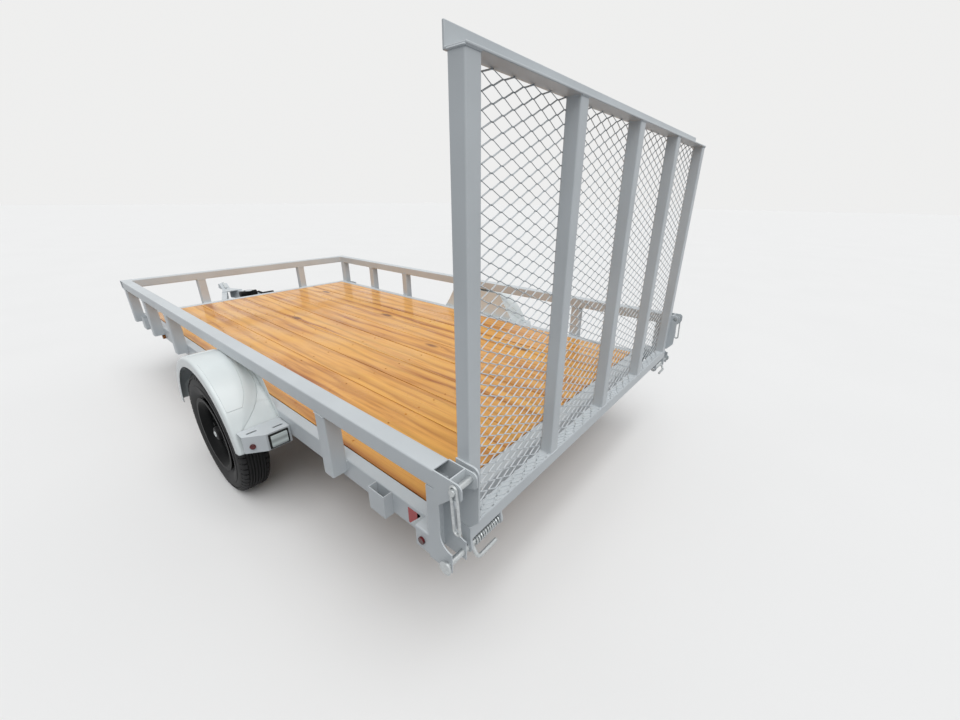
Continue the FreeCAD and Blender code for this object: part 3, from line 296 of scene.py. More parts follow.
def sealed_pine(name, settings):
    """Flat sawn pine boards with a wet seal: orange streaks, knots and a gloss coat."""
    material, tree, shader = new_material(name, Coat_Weight=0.40, Coat_Roughness=0.08, Specular_IOR_Level=0.2)
    early, late = settings.early_wood, settings.late_wood
    # Each board shows another part of the wood
    board = add_node(tree, "Attribute", attribute_name="board", attribute_type="GEOMETRY"), "Fac"
    shift = add_node(tree, "CombineXYZ", {"X": board, "Z": board}), "Vector"
    spread = add_maths(tree, "MULTIPLY", shift, (37.0, 0.0, 11.0), "VectorMath", "Vector")
    wood = add_maths(tree, "ADD", object_place(tree), spread, "VectorMath", "Vector")

    # Knots: one or two to a metre, stretched a little along the board
    knot_place = add_node(tree, "Mapping", {"Scale": (1.9, 5.6, 0.6), "Vector": wood}), "Vector"
    knots = add_node(tree, "TexVoronoi", {"Scale": 1.0, "Randomness": 0.9, "Vector": knot_place}), "Distance"
    bend = add_range(tree, knots, (0.0, 0.34), (0.035, 0.0), interpolation_type="SMOOTHSTEP")

    # Broad rings 82 mm apart, which wander slowly along the board and run round the knots
    wander = add_stretched_noise(tree, wood, (1.6, 9.0, 1.0))
    parts = add_node(tree, "SeparateXYZ", {"Vector": wood})
    across = add_maths(tree, "ADD", (parts, "Y"), add_range(tree, wander, (0.25, 0.75), (-0.030, 0.030)))
    ring_line = add_node(tree, "CombineXYZ", {"Y": add_maths(tree, "ADD", across, bend)}), "Vector"
    rings = add_wave(tree, ring_line, 81.681, bands_direction="Y", wave_profile="SAW")
    ring_colour = add_ramp(tree, rings, (
        (0.0, early, 1.0), (0.45, early, 1.06), (0.82, late, 1.0), (1.0, early, 1.0)))

    # Streaks of resin and sap, tens of millimetres wide and most of a metre long
    streaks = add_stretched_noise(tree, wood, (1.2, 26.0, 4.0), 4.0, 0.6)
    streak_colour = add_ramp(tree, streaks, ((0.33, late, 1.0), (0.45, early, 1.0), (0.60, early, 1.38)))
    blended = add_mix(tree, 0.50, ring_colour, streak_colour)
    # Fibres, drawn 1.5 mm wide so that they still show
    fibres = add_stretched_noise(tree, wood, (9.0, per_metre(1.5), 60.0))
    fibre_colour = add_ramp(tree, fibres, ((0.3, (0.84, 0.80, 0.74), 1.0), (0.7, WHITE, 1.0)))
    fibred = add_mix(tree, 0.8, blended, fibre_colour, "MULTIPLY")
    # Each board has its own tone
    tone = add_ramp(tree, board, ((0.0, (0.93, 0.88, 0.82), 1.0), (1.0, WHITE, 1.0)))
    toned = add_mix(tree, 1.0, fibred, tone, "MULTIPLY")
    heart = add_range(tree, knots, (0.05, 0.14), (0.9, 0.0), interpolation_type="SMOOTHSTEP")
    # Puddled seal: glossy patches a hand across beside drier ones
    damp = add_noise(tree, wood, 230, 3.0)
    set_inputs(tree, shader, {
        "Base Color": add_mix(tree, heart, toned, rgba(settings.knot)),
        "Roughness": add_range(tree, damp, (0.35, 0.65), (0.24, 0.5)),
        "Normal": add_bump(tree, fibres, 0.25, 0.0006)})
    return material


def zinc_plate(name):
    """Steel dipped in bright zinc: silver, with patches a few millimetres across."""
    colour = hex_colour("#c4c8c9")
    material, tree, shader = new_material(name, Metallic=0.85)
    crystals = add_cells(tree, object_place(tree), 7)
    set_inputs(tree, shader, {
        "Base Color": add_ramp(tree, crystals, ((0.1, colour, 1.06), (0.8, colour, 0.90))),
        "Roughness": add_range(tree, crystals, (0.0, 1.0), (0.32, 0.5))})
    return material


def moulded_lens(name, colour, clearness):
    """Moulded acrylic lens: a smooth gloss over rows of prisms, 25 mm apart."""
    material, tree, shader = new_material(name, Roughness=0.18, Transmission_Weight=clearness, IOR=1.49)
    prisms = add_wave(tree, object_place(tree), 25.133, bands_direction="Z")
    set_inputs(tree, shader, {
        "Base Color": add_ramp(tree, prisms, ((0.0, colour, 0.7), (1.0, colour, 1.15))),
        "Normal": add_bump(tree, prisms, 0.3, 0.0005)})
    return material


def reflective_tape(name, colour):
    """Prismatic reflective film: a small honeycomb under a gloss."""
    material, tree, shader = new_material(name, Roughness=0.25)
    cells = add_cells(tree, object_place(tree), 3.5, feature="DISTANCE_TO_EDGE")
    set_inputs(tree, shader, {"Base Color": add_ramp(tree, cells, ((0.0, colour, 0.8), (0.12, colour, 1.0)))})
    return material


FINISHES = {}


def make_finishes():
    """Make every material and keep it, with the slot that it fills, under the name of its finish."""
    scene = bpy.context.scene
    steel, wheel, lamp = scene.trailer_steel, scene.trailer_wheel, scene.trailer_lamp
    for finish, slot, make, *values in (
            ("coat", "grey_coat", coated, "powder_coated_steel", "powder", steel.coat, 0.40),
            ("crown", "grey_coat", coated, "powder_coated_fender", "powder", steel.crown_coat, 0.24),
            ("pine", "deck_wood", sealed_pine, "sealed_pine_boards", scene.trailer_deck),
            ("rubber", "tyre_rubber", coated, "cured_tyre_rubber", "rubber", wheel.rubber, 0.62),
            ("grommet", "black_rubber", coated, "moulded_rubber_grommet", "rubber",
             hex_colour("#161616"), 0.62),
            ("enamel", "wheel_black", coated, "satin_wheel_enamel", "enamel", wheel.enamel, 0.5),
            ("satin", "axle_black", coated, "satin_black_enamel", "enamel", hex_colour("#1b1b1c"), 0.5),
            ("screw", "bright_zinc", coated, "tan_coated_screws", "enamel", hex_colour("#a86c2c"), 0.45),
            ("zinc", "bright_zinc", zinc_plate, "bright_zinc_plate"),
            ("clear", "lamp_clear", moulded_lens, "clear_acrylic_lens", hex_colour("#dfe8e6"), 0.25),
            ("red", "marker_red", moulded_lens, "red_acrylic_lens", lamp.red, 0.1),
            ("amber", "marker_amber", moulded_lens, "amber_acrylic_lens", lamp.amber, 0.1),
            ("tape_red", "marker_red", reflective_tape, "red_reflective_tape", lamp.tape_red),
            ("tape_white", "marker_red", reflective_tape, "white_reflective_tape", lamp.tape_white)):
        FINISHES[finish] = make(*values), slot


def oriented(axis, along, across, up):
    """A point given along an axis and along the two others in X, Y, Z order."""
    point = [across, up]
    point.insert(axis, along)
    return point


def about_y(centre, radius, angle, along=0.0):
    """A point at a radius and an angle about the line along Y through centre."""
    return centre[0] + radius * math.cos(angle), centre[1] + along, centre[2] + radius * math.sin(angle)


def axle_of(node):
    """Where a line along Y through the middle of a node crosses the middle of the trailer."""
    low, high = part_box(node)
    return (low.x + high.x) / 2, 0.0, (low.z + high.z) / 2


def add_skin(bm, rows, closed=True, capped=True, looped=False):
    """Make a vertex at each point of each row and bridge every two rows with quads.

    A closed row is a ring. A looped skin runs from its last row to its first, others may have caps.
    """
    rings = [[bm.verts.new(point) for point in row] for row in rows]
    for first, second in zip(rings, rings[1:] + rings[:1] if looped else rings[1:]):
        count = len(first)
        for i in range(count if closed else count - 1):
            k = (i + 1) % count
            bm.faces.new((first[i], first[k], second[k], second[i]))
    if capped and not looped:
        bm.faces.new(rings[0])
        bm.faces.new(rings[-1])
    return rings


def rounded_outline(low, high, radius, steps=4):
    """Points round a rectangle with rounded corners."""
    corners = ((high[0] - radius, high[1] - radius, 0), (low[0] + radius, high[1] - radius, 90),
               (low[0] + radius, low[1] + radius, 180), (high[0] - radius, low[1] + radius, 270))
    points = []
    for across, up, start in corners:
        for i in range(steps + 1):
            angle = math.radians(start + 90 * i / steps)
            points.append((across + radius * math.cos(angle), up + radius * math.sin(angle)))
    return points


def add_tube(bm, low, high, axis, wall, corner):
    """A square tube with rounded corners, open at both ends."""
    flat_low = [low[i] for i in range(3) if i != axis]
    flat_high = [high[i] for i in range(3) if i != axis]
    outer = rounded_outline(flat_low, flat_high, corner)
    inner = rounded_outline([v + wall for v in flat_low], [v - wall for v in flat_high],
                            max(corner - wall, 0.0008))
    start, end = low[axis], high[axis]
    add_skin(bm, [[oriented(axis, along, *point) for point in outline]
                  for along, outline in ((start, outer), (end, outer), (end, inner), (start, inner))],
             looped=True)


def add_prism(bm, outline, start, end):
    """Extrude a closed outline along Y."""
    add_skin(bm, [[(x, y, z) for x, z in outline] for y in (start, end)])


def add_lathe(bm, profile, centre, steps, closed=False):
    """Turn (along Y, radius) points about a line along Y through centre."""
    add_skin(bm, [[about_y(centre, radius, math.radians(360 * i / steps), along) for along, radius in profile]
                  for i in range(steps)], closed, looped=True)


def turned_frames(points, closed):
    """Directions across a path at each point, without twist."""
    count = len(points)
    tangents = []
    for i in range(count):
        before = points[i - 1] if closed or i else points[0]
        after = points[(i + 1) % count] if closed or i < count - 1 else points[-1]
        tangents.append((after - before).normalized())
    helper = Vector((0, 0, 1)) if abs(tangents[0].z) < 0.9 else Vector((1, 0, 0))
    side = tangents[0].cross(helper).normalized()
    frames = []
    for tangent in tangents:
        side = (side - tangent * side.dot(tangent)).normalized()
        frames.append((side, tangent.cross(side)))
    return frames


def add_rod(bm, points, radius, sides=10, closed=False):
    """Sweep a circle along points; radius may be a list with one for each point."""
    points = [Vector(point) for point in points]
    radii = radius if isinstance(radius, list) else [radius] * len(points)
    angles = [FULL_TURN * i / sides for i in range(sides)]
    add_skin(bm, [[point + (side * math.cos(angle) + rise * math.sin(angle)) * size for angle in angles]
                  for point, size, (side, rise) in zip(points, radii, turned_frames(points, closed))],
             looped=closed)


def rounded_path(corners, radius, steps=6):
    """A path through corners, each replaced by a smooth bend."""
    path = [corners[0]]
    for before, corner, after in zip(corners, corners[1:], corners[2:]):
        start = corner + (before - corner).normalized() * radius
        end = corner + (after - corner).normalized() * radius
        for i in range(steps + 1):
            t = i / steps
            path.append(start * (1 - t) ** 2 + corner * 2 * t * (1 - t) + end * t ** 2)
    return path + [corners[-1]]


def add_weld(bm, start, end, share=1.0):
    """A rippled weld bead between two points, like a row of coins, of a share of the usual width."""
    steel = bpy.context.scene.trailer_steel
    width = steel.weld_width * share
    start, end = Vector(start), Vector(end)
    count = max(int((end - start).length / steel.weld_ripple) * 2, 4)
    dice = random.Random(round(sum(start) * 1000) + count)
    radii = [width / 2 * ((1.0 if i % 2 else 0.8) + dice.uniform(-0.08, 0.08)) for i in range(count + 1)]
    radii[0] = radii[-1] = width / 5
    add_rod(bm, [start.lerp(end, i / count) for i in range(count + 1)], radii, sides=6)


def node_mesh(node, whole_faces=True):
    """A copy of a frame node's mesh, with whole faces in place of its triangles."""
    bm = bmesh.new()
    bm.from_mesh(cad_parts[node].data)
    bmesh.ops.remove_doubles(bm, verts=bm.verts[:], dist=1e-5)
    if whole_faces:
        bmesh.ops.dissolve_limit(bm, angle_limit=math.radians(0.5), verts=bm.verts[:], edges=bm.edges[:])
    return bm


def solid_boxes(node):
    """Lowest and highest corner of each separate solid in a frame node, in order of place."""
    bm = node_mesh(node, whole_faces=False)
    waiting = set(bm.verts)
    boxes = []
    while waiting:
        stack = [waiting.pop()]
        found = []
        while stack:
            vert = stack.pop()
            found.append(vert.co)
            for edge in vert.link_edges:
                other = edge.other_vert(vert)
                if other in waiting:
                    waiting.remove(other)
                    stack.append(other)
        boxes.append([Vector([pick(co[i] for co in found) for i in range(3)]) for pick in (min, max)])
    bm.free()
    return sorted(boxes, key=lambda box: tuple(round(v, 4) for v in box[0]))


def add_object(name, data):
    """Put new data into the scene as an object."""
    thing = bpy.data.objects.new(name, data)
    bpy.context.scene.collection.objects.link(thing)
    return thing


def new_mesh(name, bm):
    mesh = bpy.data.meshes.new(name)
    bm.to_mesh(mesh)
    bm.free()
    return mesh


def make_piece(bm, name, finish, nodes=(), body="chassis", bevel=0.0, crease=32):
    """Turn a mesh into a finished piece that rides on a body and stands for nodes.
    """
    if not FINISHES:
        make_finishes()
    material, usual_slot = FINISHES[finish]
    bmesh.ops.recalc_face_normals(bm, faces=bm.faces[:])
    mesh = new_mesh(name, bm)
    mesh.shade_smooth()
    mesh.set_sharp_from_angle(angle=math.radians(crease))
    mesh.materials.append(material)
    piece = add_object(name, mesh)
    if bevel:
        rounding = piece.modifiers.new("Rounded edges", "BEVEL")
        rounding.width = bevel
        rounding.segments = 2
        rounding.limit_method = "ANGLE"
        rounding.angle_limit = math.radians(38)
    piece.modifiers.new("Flat faces", "WEIGHTED_NORMAL").keep_sharp = True
    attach(piece, body)
    if nodes:
        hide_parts(*nodes)
    return piece


def tubes_of(name, nodes, wall=FRAME_WALL, corner_share=1.0, body="chassis", axis=None):
    """One piece of rounded tubes in the place of the square ones of these nodes.

    A tube runs along its longest side unless an axis is given.
    """
    corner = bpy.context.scene.trailer_steel.corner * corner_share
    bm = bmesh.new()
    for node in nodes:
        for low, high in solid_boxes(node):
            reach = high - low
            longest = max(range(3), key=lambda i: reach[i])
            add_tube(bm, low, high, longest if axis is None else axis, wall, corner)
    make_piece(bm, name, "coat", nodes, body)


def cut_nodes(name, nodes, finish, bevel, body="chassis", slot=None):
    """One piece from copies of frame nodes, with their sharp edges rounded."""
    joined = bmesh.new()
    for node in nodes:
        mesh = new_mesh(node, node_mesh(node))
        joined.from_mesh(mesh)
        bpy.data.meshes.remove(mesh)
    make_piece(joined, name, finish, nodes, body, bevel)


class TRAILER_OT_stage(bpy.types.Operator):
    """Add the pale floor, the soft light and the camera"""
    bl_idname = "trailer.stage"
    bl_label = "Stage"

    FLOOR_REACH = 60.0
    SKY_TINT = (0.93, 0.97, 1.0, 1.0)
    BACKGROUND = (0.86, 0.86, 0.855, 1.0)
    # Towards the middle of the bright cloud: overhead, a little to the left and rear
    CLOUD = Vector((-0.42, 0.20, 1.0))
    SENSOR = 36.0
    # How far the view's middle lies beside the lens's
    VIEW_SHIFT = (-0.00909, -0.00359)

    def execute(self, context):
        settings = context.scene.trailer_stage
        context.scene.view_settings.view_transform = "Standard"
        self.add_floor(settings)
        self.add_light(context.scene, settings)
        self.add_camera(context.scene, settings)
        return {"FINISHED"}

    def add_floor(self, settings):
        reach = self.FLOOR_REACH
        corners = ((-reach, -reach), (reach, -reach), (reach, reach), (-reach, reach))
        bm = bmesh.new()
        bm.faces.new([bm.verts.new((*corner, 0)) for corner in corners])
        floor = add_object("floor", new_mesh("floor", bm))
        material, tree, shader = new_material("pale_studio_floor", Roughness=0.85)
        colour = settings.floor_colour
        mottle = add_noise(tree, object_place(tree), 900)
        tone = add_ramp(tree, mottle, ((0.3, colour, 0.985), (0.7, colour, 1.0)))
        # It throws no more light up at the trailer than a paved yard does
        paving = add_mix(tree, seen_rays(tree), rgba(settings.bounce_colour), tone)
        set_inputs(tree, shader, {"Base Color": paving})
        floor.data.materials.append(material)

    def add_light(self, scene, settings):
        scene.world = bpy.data.worlds.new("studio")
        scene.world.use_nodes = True
        tree = scene.world.node_tree
        even = tree.nodes["Background"]
        set_inputs(tree, even, {"Color": self.SKY_TINT, "Strength": settings.sky_power})
        plain = add_node(tree, "Background", {"Color": self.BACKGROUND, "Strength": 1.0})
        surface = {0: seen_rays(tree), 1: (even, "Background"), 2: (plain, "Background")}
        choice = add_node(tree, "MixShader", surface)
        set_inputs(tree, tree.nodes["World Output"], {"Surface": (choice, "Shader")})
        light = bpy.data.lights.new("overcast", "SUN")
        light.energy = settings.overcast_power
        light.angle = settings.overcast_spread
        add_object("overcast", light).rotation_euler = self.CLOUD.to_track_quat("Z", "Y").to_euler()

    def add_camera(self, scene, settings):
        data = bpy.data.cameras.new("camera")
        data.sensor_width = self.SENSOR
        data.lens = settings.lens
        data.shift_x, data.shift_y = self.VIEW_SHIFT
        data.clip_end = 200.0
        heading, tilt, roll = settings.heading, settings.tilt, settings.roll
        ahead = Vector((math.cos(tilt) * math.cos(heading), math.cos(tilt) * math.sin(heading),
                        math.sin(tilt)))
        level = Vector((math.sin(heading), -math.cos(heading), 0))
        rise = level.cross(ahead)
        right = level * math.cos(roll) + rise * math.sin(roll)
        up = rise * math.cos(roll) - level * math.sin(roll)
        turn = Matrix((right, up, -ahead)).transposed()
        scene.camera = add_object("camera", data)
        scene.camera.matrix_world = Matrix.Translation(settings.camera_place) @ turn.to_4x4()


class TRAILER_OT_frame(bpy.types.Operator):
    """Build the tubes and angles that carry the deck"""
    bl_idname = "trailer.frame"
    bl_label = "Frame"

    def execute(self, context):
        tubes_of("side_rail_tubes", ("side_rail_left", "side_rail_right"))
        tubes_of("end_member_tubes", ("front_cross_member", "rear_cross_member"))
        tubes_of("tail_box_tubes", ("tail_boxes",), axis=X_AXIS)
        cut_nodes("floor_angles", ("floor_cross_members",), "coat", 0.0012)
        return {"FINISHED"}


class TRAILER_OT_rails(bpy.types.Operator):
    """Build the top rails and the uprights that carry them"""
    bl_idname = "trailer.rails"
    bl_label = "Rails"

    def execute(self, context):
        tubes_of("top_rail_tubes", ("top_rail_left", "top_rail_right", "top_rail_front"))
        tubes_of("upright_tubes", ("uprights_left", "uprights_right", "uprights_front"))
        return {"FINISHED"}


class TRAILER_OT_deck(bpy.types.Operator):
    """Lay the pine boards and their screws"""
    bl_idname = "trailer.deck"
    bl_label = "Deck"

    BOARD_STATIONS = 12
    # How far wet boards swell into the gaps beside them
    SWELL = 0.0006
    SCREW_INSET = 0.030
    SCREW_SIDES = 12
    # Shares of the head's radius and depths below the deck, from the rim to the bottom of the recess
    SCREW_HEAD = ((1.0, 0.0012), (1.0, 0.0006), (0.8, 0.0), (0.35, 0.0), (0.3, 0.0012))

    def execute(self, context):
        settings = context.scene.trailer_deck
        boxes = sorted(solid_boxes("deck_boards"), key=lambda box: box[0].y)
        self.add_boards(boxes, settings.edge)
        self.add_screws(boxes, settings.screw_radius)
        return {"FINISHED"}

    def add_boards(self, boxes, edge):
        bm = bmesh.new()
        tone = bm.verts.layers.float.new("board")
        dice = random.Random(4)
        shares = [i / self.BOARD_STATIONS for i in range(self.BOARD_STATIONS + 1)]
        for low, high in boxes:
            # Sawn boards are a little low or high and not quite flat
            drop = dice.uniform(0.0002, 0.0014)
            lean = dice.uniform(-0.0004, 0.0004)
            outline = rounded_outline((low.y - self.SWELL, low.z), (high.y + self.SWELL, high.z - drop),
                                      edge, 3)
            rings = add_skin(bm, [[(low.x + (high.x - low.x) * share, y + math.sin(share * math.pi) * lean, z)
                                   for y, z in outline] for share in shares])
            shade_of_board = dice.random()
            for ring in rings:
                for vert in ring:
                    vert[tone] = shade_of_board
        make_piece(bm, "pine_boards", "pine", ("deck_boards",))

    def add_screws(self, boxes, radius):
        bm = bmesh.new()
        angles = [FULL_TURN * i / self.SCREW_SIDES for i in range(self.SCREW_SIDES)]
        top = max(high.z for low, high in boxes)
        places = [y for low, high in boxes for y in (low.y + self.SCREW_INSET, high.y - self.SCREW_INSET)]
        for low_leg, high_leg in solid_boxes("floor_cross_members"):
            x = (low_leg.x + high_leg.x) / 2
            for y in places:
                rings = add_skin(bm, [[(x + radius * share * math.cos(angle),
                                        y + radius * share * math.sin(angle), top - drop) for angle in angles]
                                      for share, drop in self.SCREW_HEAD], capped=False)
                bm.faces.new(rings[-1])
        make_piece(bm, "deck_screws", "screw")


def between(table, place):
    """The value of a table of (place, value) rows at a place, along straight lines."""
    if place <= table[0][0]:
        return table[0][1]
    for (low, first), (high, second) in zip(table, table[1:]):
        if place <= high:
            return first + (second - first) * (place - low) / (high - low)
    return table[-1][1]


class TRAILER_OT_fenders(bpy.types.Operator):
    """Press the fenders with their bulge, raised panel, flange and lip"""
    bl_idname = "trailer.fenders"
    bl_label = "Fenders"

    # Angle from the top in degrees, then mm from the trailer's middle line
    BULGE_EDGE = ((0, 786), (5, 783), (21, 778), (31, 775), (39, 779), (45, 789), (51, 807), (56, 829),
                  (60, 852), (64, 878), (67, 896))
    PANEL_EDGE = ((0, 812), (25, 814), (35, 822), (44, 834), (50, 851), (53, 862), (60, 880), (67, 901))
    # Angle from the top, then mm from the axle
    FLANGE = ((0, 322), (20, 321), (40, 323.5), (51, 330), (60, 335), (67, 339.2))
    BULGE = ((0, 341.0), (55, 341.0), (66, 340.6))
    # The flange is pressed in where the angle is more than this at mm from the middle line
    LOBE_EDGE = ((762, 58), (766, 55.0), (771, 53.0), (786, 51.8), (800, 51.6))
    LOBE_DEPTH = 1.4
    # Shares of the way from the bulge's foot to the panel and of its rise: a small step, then a slope
    SLOPE = ((0.0, 0.0), (0.03, 0.17), (0.08, 0.26), (0.25, 0.34), (0.45, 0.53), (0.65, 0.74),
             (0.8, 0.88), (0.92, 0.97), (1.0, 1.0))
    # Angles from the top between which the panel is raised, and by how many mm
    PANEL_START, PANEL_END, PANEL_RISE = 11.0, 52.5, 1.9
    # mm from the middle line: the inner edge, the panel's outer edge and the lip's face
    INNER_EDGE, PANEL_OUTER, LIP_FACE = 764.6, 912, 926
    SHOULDER = 11
    # mm from the axle: two places on the lip
    LIP = (318, 301)
    SWEEP = 80
    # m ahead of and above the axle, and the plate's inner face from the middle line
    PLATE_CORNERS = ((0.3273, 0.0938), (0.3153, 0.1598), (0.2673, 0.2238), (0.2023, 0.3312))
    PLATE_FACE = 0.762

    def execute(self, context):
        for hand, side in SIDES:
            axle = axle_of(f"wheel_rim_{hand}")
            bm = bmesh.new()
            self.add_crown(bm, axle, side)
            piece = make_piece(bm, f"fender_sheet_{hand}", "crown", (f"fender_{hand}",), crease=24)
            sheet = piece.modifiers.new("Sheet", "SOLIDIFY")
            sheet.thickness = FENDER_SHEET
            sheet.offset = -1.0
            piece.modifiers.move(len(piece.modifiers) - 1, 0)
            plate = bmesh.new()
            outline = [(axle[0] + along, axle[2] + up) for along, up in self.PLATE_CORNERS]
            outline += [(axle[0] - along, axle[2] + up) for along, up in reversed(self.PLATE_CORNERS)]
            add_prism(plate, outline, side * self.PLATE_FACE, side * (self.PLATE_FACE + FENDER_SHEET))
            make_piece(plate, f"fender_plate_{hand}", "crown")
        return {"FINISHED"}

    def section(self, angle):
        """Places across the crown and their radius at one angle, both in mm."""
        tables = (self.BULGE_EDGE, self.PANEL_EDGE, self.FLANGE, self.BULGE)
        bulge_edge, panel_edge, flange, bulge = [between(table, angle) for table in tables]
        panel = bulge + (self.PANEL_RISE if self.PANEL_START <= angle <= self.PANEL_END else 0.0)
        points = []
        for share in (0.0, 0.2, 0.4, 0.6, 0.8, 0.97):
            place = self.INNER_EDGE + (bulge_edge - self.INNER_EDGE) * share
            lobe = angle > between(self.LOBE_EDGE, place)
            points.append((place, flange - (self.LOBE_DEPTH if lobe else 0.0)))
        wide = panel_edge - 3 - bulge_edge
        points += [(bulge_edge + wide * along, flange + (bulge - flange) * up) for along, up in self.SLOPE]
        points += [(panel_edge, bulge), (panel_edge + 1.5, panel)]
        flat = self.PANEL_OUTER - panel_edge
        points += [(panel_edge + flat * share, panel) for share in (0.25, 0.5, 0.75, 1.0)]
        points.append((self.PANEL_OUTER + 1.5, bulge))
        # The outer shoulder and the lip that hangs from it
        for i in range(9):
            turn = math.radians(90 * i / 8)
            points.append((self.LIP_FACE - self.SHOULDER + self.SHOULDER * math.sin(turn),
                           bulge - self.SHOULDER * (1 - math.cos(turn))))
        return points + [(self.LIP_FACE, radius) for radius in self.LIP]

    def add_crown(self, bm, axle, side):
        stations = [*range(self.SWEEP + 1), self.PANEL_START - 0.4, self.PANEL_END + 0.4, self.PANEL_END]
        stations = sorted(set(stations) | {-place for place in stations})
        add_skin(bm, [[about_y(axle, radius / 1000, math.radians(90 + place), side * across / 1000)
                       for across, radius in self.section(abs(place))] for place in stations],
                 closed=False, capped=False)


PLAIN_PIECES = (
    # name, nodes, finish, rounding and, where they aren't the usual ones, body and slot
    ("hinge_post_plates", ("hinge_post_left", "hinge_post_right"), "coat", 0.0010),
    ("latch_rods", ("latch_bars",), "zinc", 0.0008),
    ("bracket_sheets", ("lamp_bracket_left", "lamp_bracket_right"), "coat", 0.0008),
    ("grommet_rings", ("lamp_grommets",), "grommet", 0.0015),
    ("tail_lenses", ("tail_lamps",), "clear", 0.0020),
    ("round_lenses", ("round_markers",), "red", 0.0010),
    ("side_lenses", ("side_markers",), "amber", 0.0010),
    ("pocket_plates", ("stake_pockets_left", "stake_pockets_right"), "coat", 0.0008),
    ("tongue_tubes", ("tongue_rail_left", "tongue_rail_right"), "coat", 0.0020),
    ("coupler_body", ("coupler",), "coat", 0.0015),
    ("coupler_lever", ("coupler_latch",), "zinc", 0.0010),
    ("jack_outer", ("jack_tube",), "coat", 0.0008),
    ("jack_head", ("jack_crank",), "satin", 0.0010, "chassis", "black_plastic"),
    ("jack_inner", ("jack_leg",), "zinc", 0.0008, "jack_leg"),
    ("axle_tube", ("axle_beam",), "satin", 0.0008),
    ("spring_leaves", ("leaf_spring_left", "leaf_spring_right"), "satin", 0.0006),
    ("hanger_plates", ("spring_hangers",), "coat", 0.0008),
    ("axle_bolts", ("axle_clamps",), "zinc", 0.0006),
    ("gate_top_bar", ("gate_top_angle",), "coat", 0.0014, "ramp_gate"),
    ("gate_foot_bar", ("gate_bottom_angle",), "coat", 0.0014, "ramp_gate"),
    ("gate_side_plates", ("gate_lugs",), "coat", 0.0010, "ramp_gate"),
)


class TRAILER_OT_fittings(bpy.types.Operator):
    """Round the edges of the posts, brackets, lamps, tongue, jack and axle"""
    bl_idname = "trailer.fittings"
    bl_label = "Fittings"

    def execute(self, context):
        for row in PLAIN_PIECES:
            cut_nodes(*row)
        return {"FINISHED"}


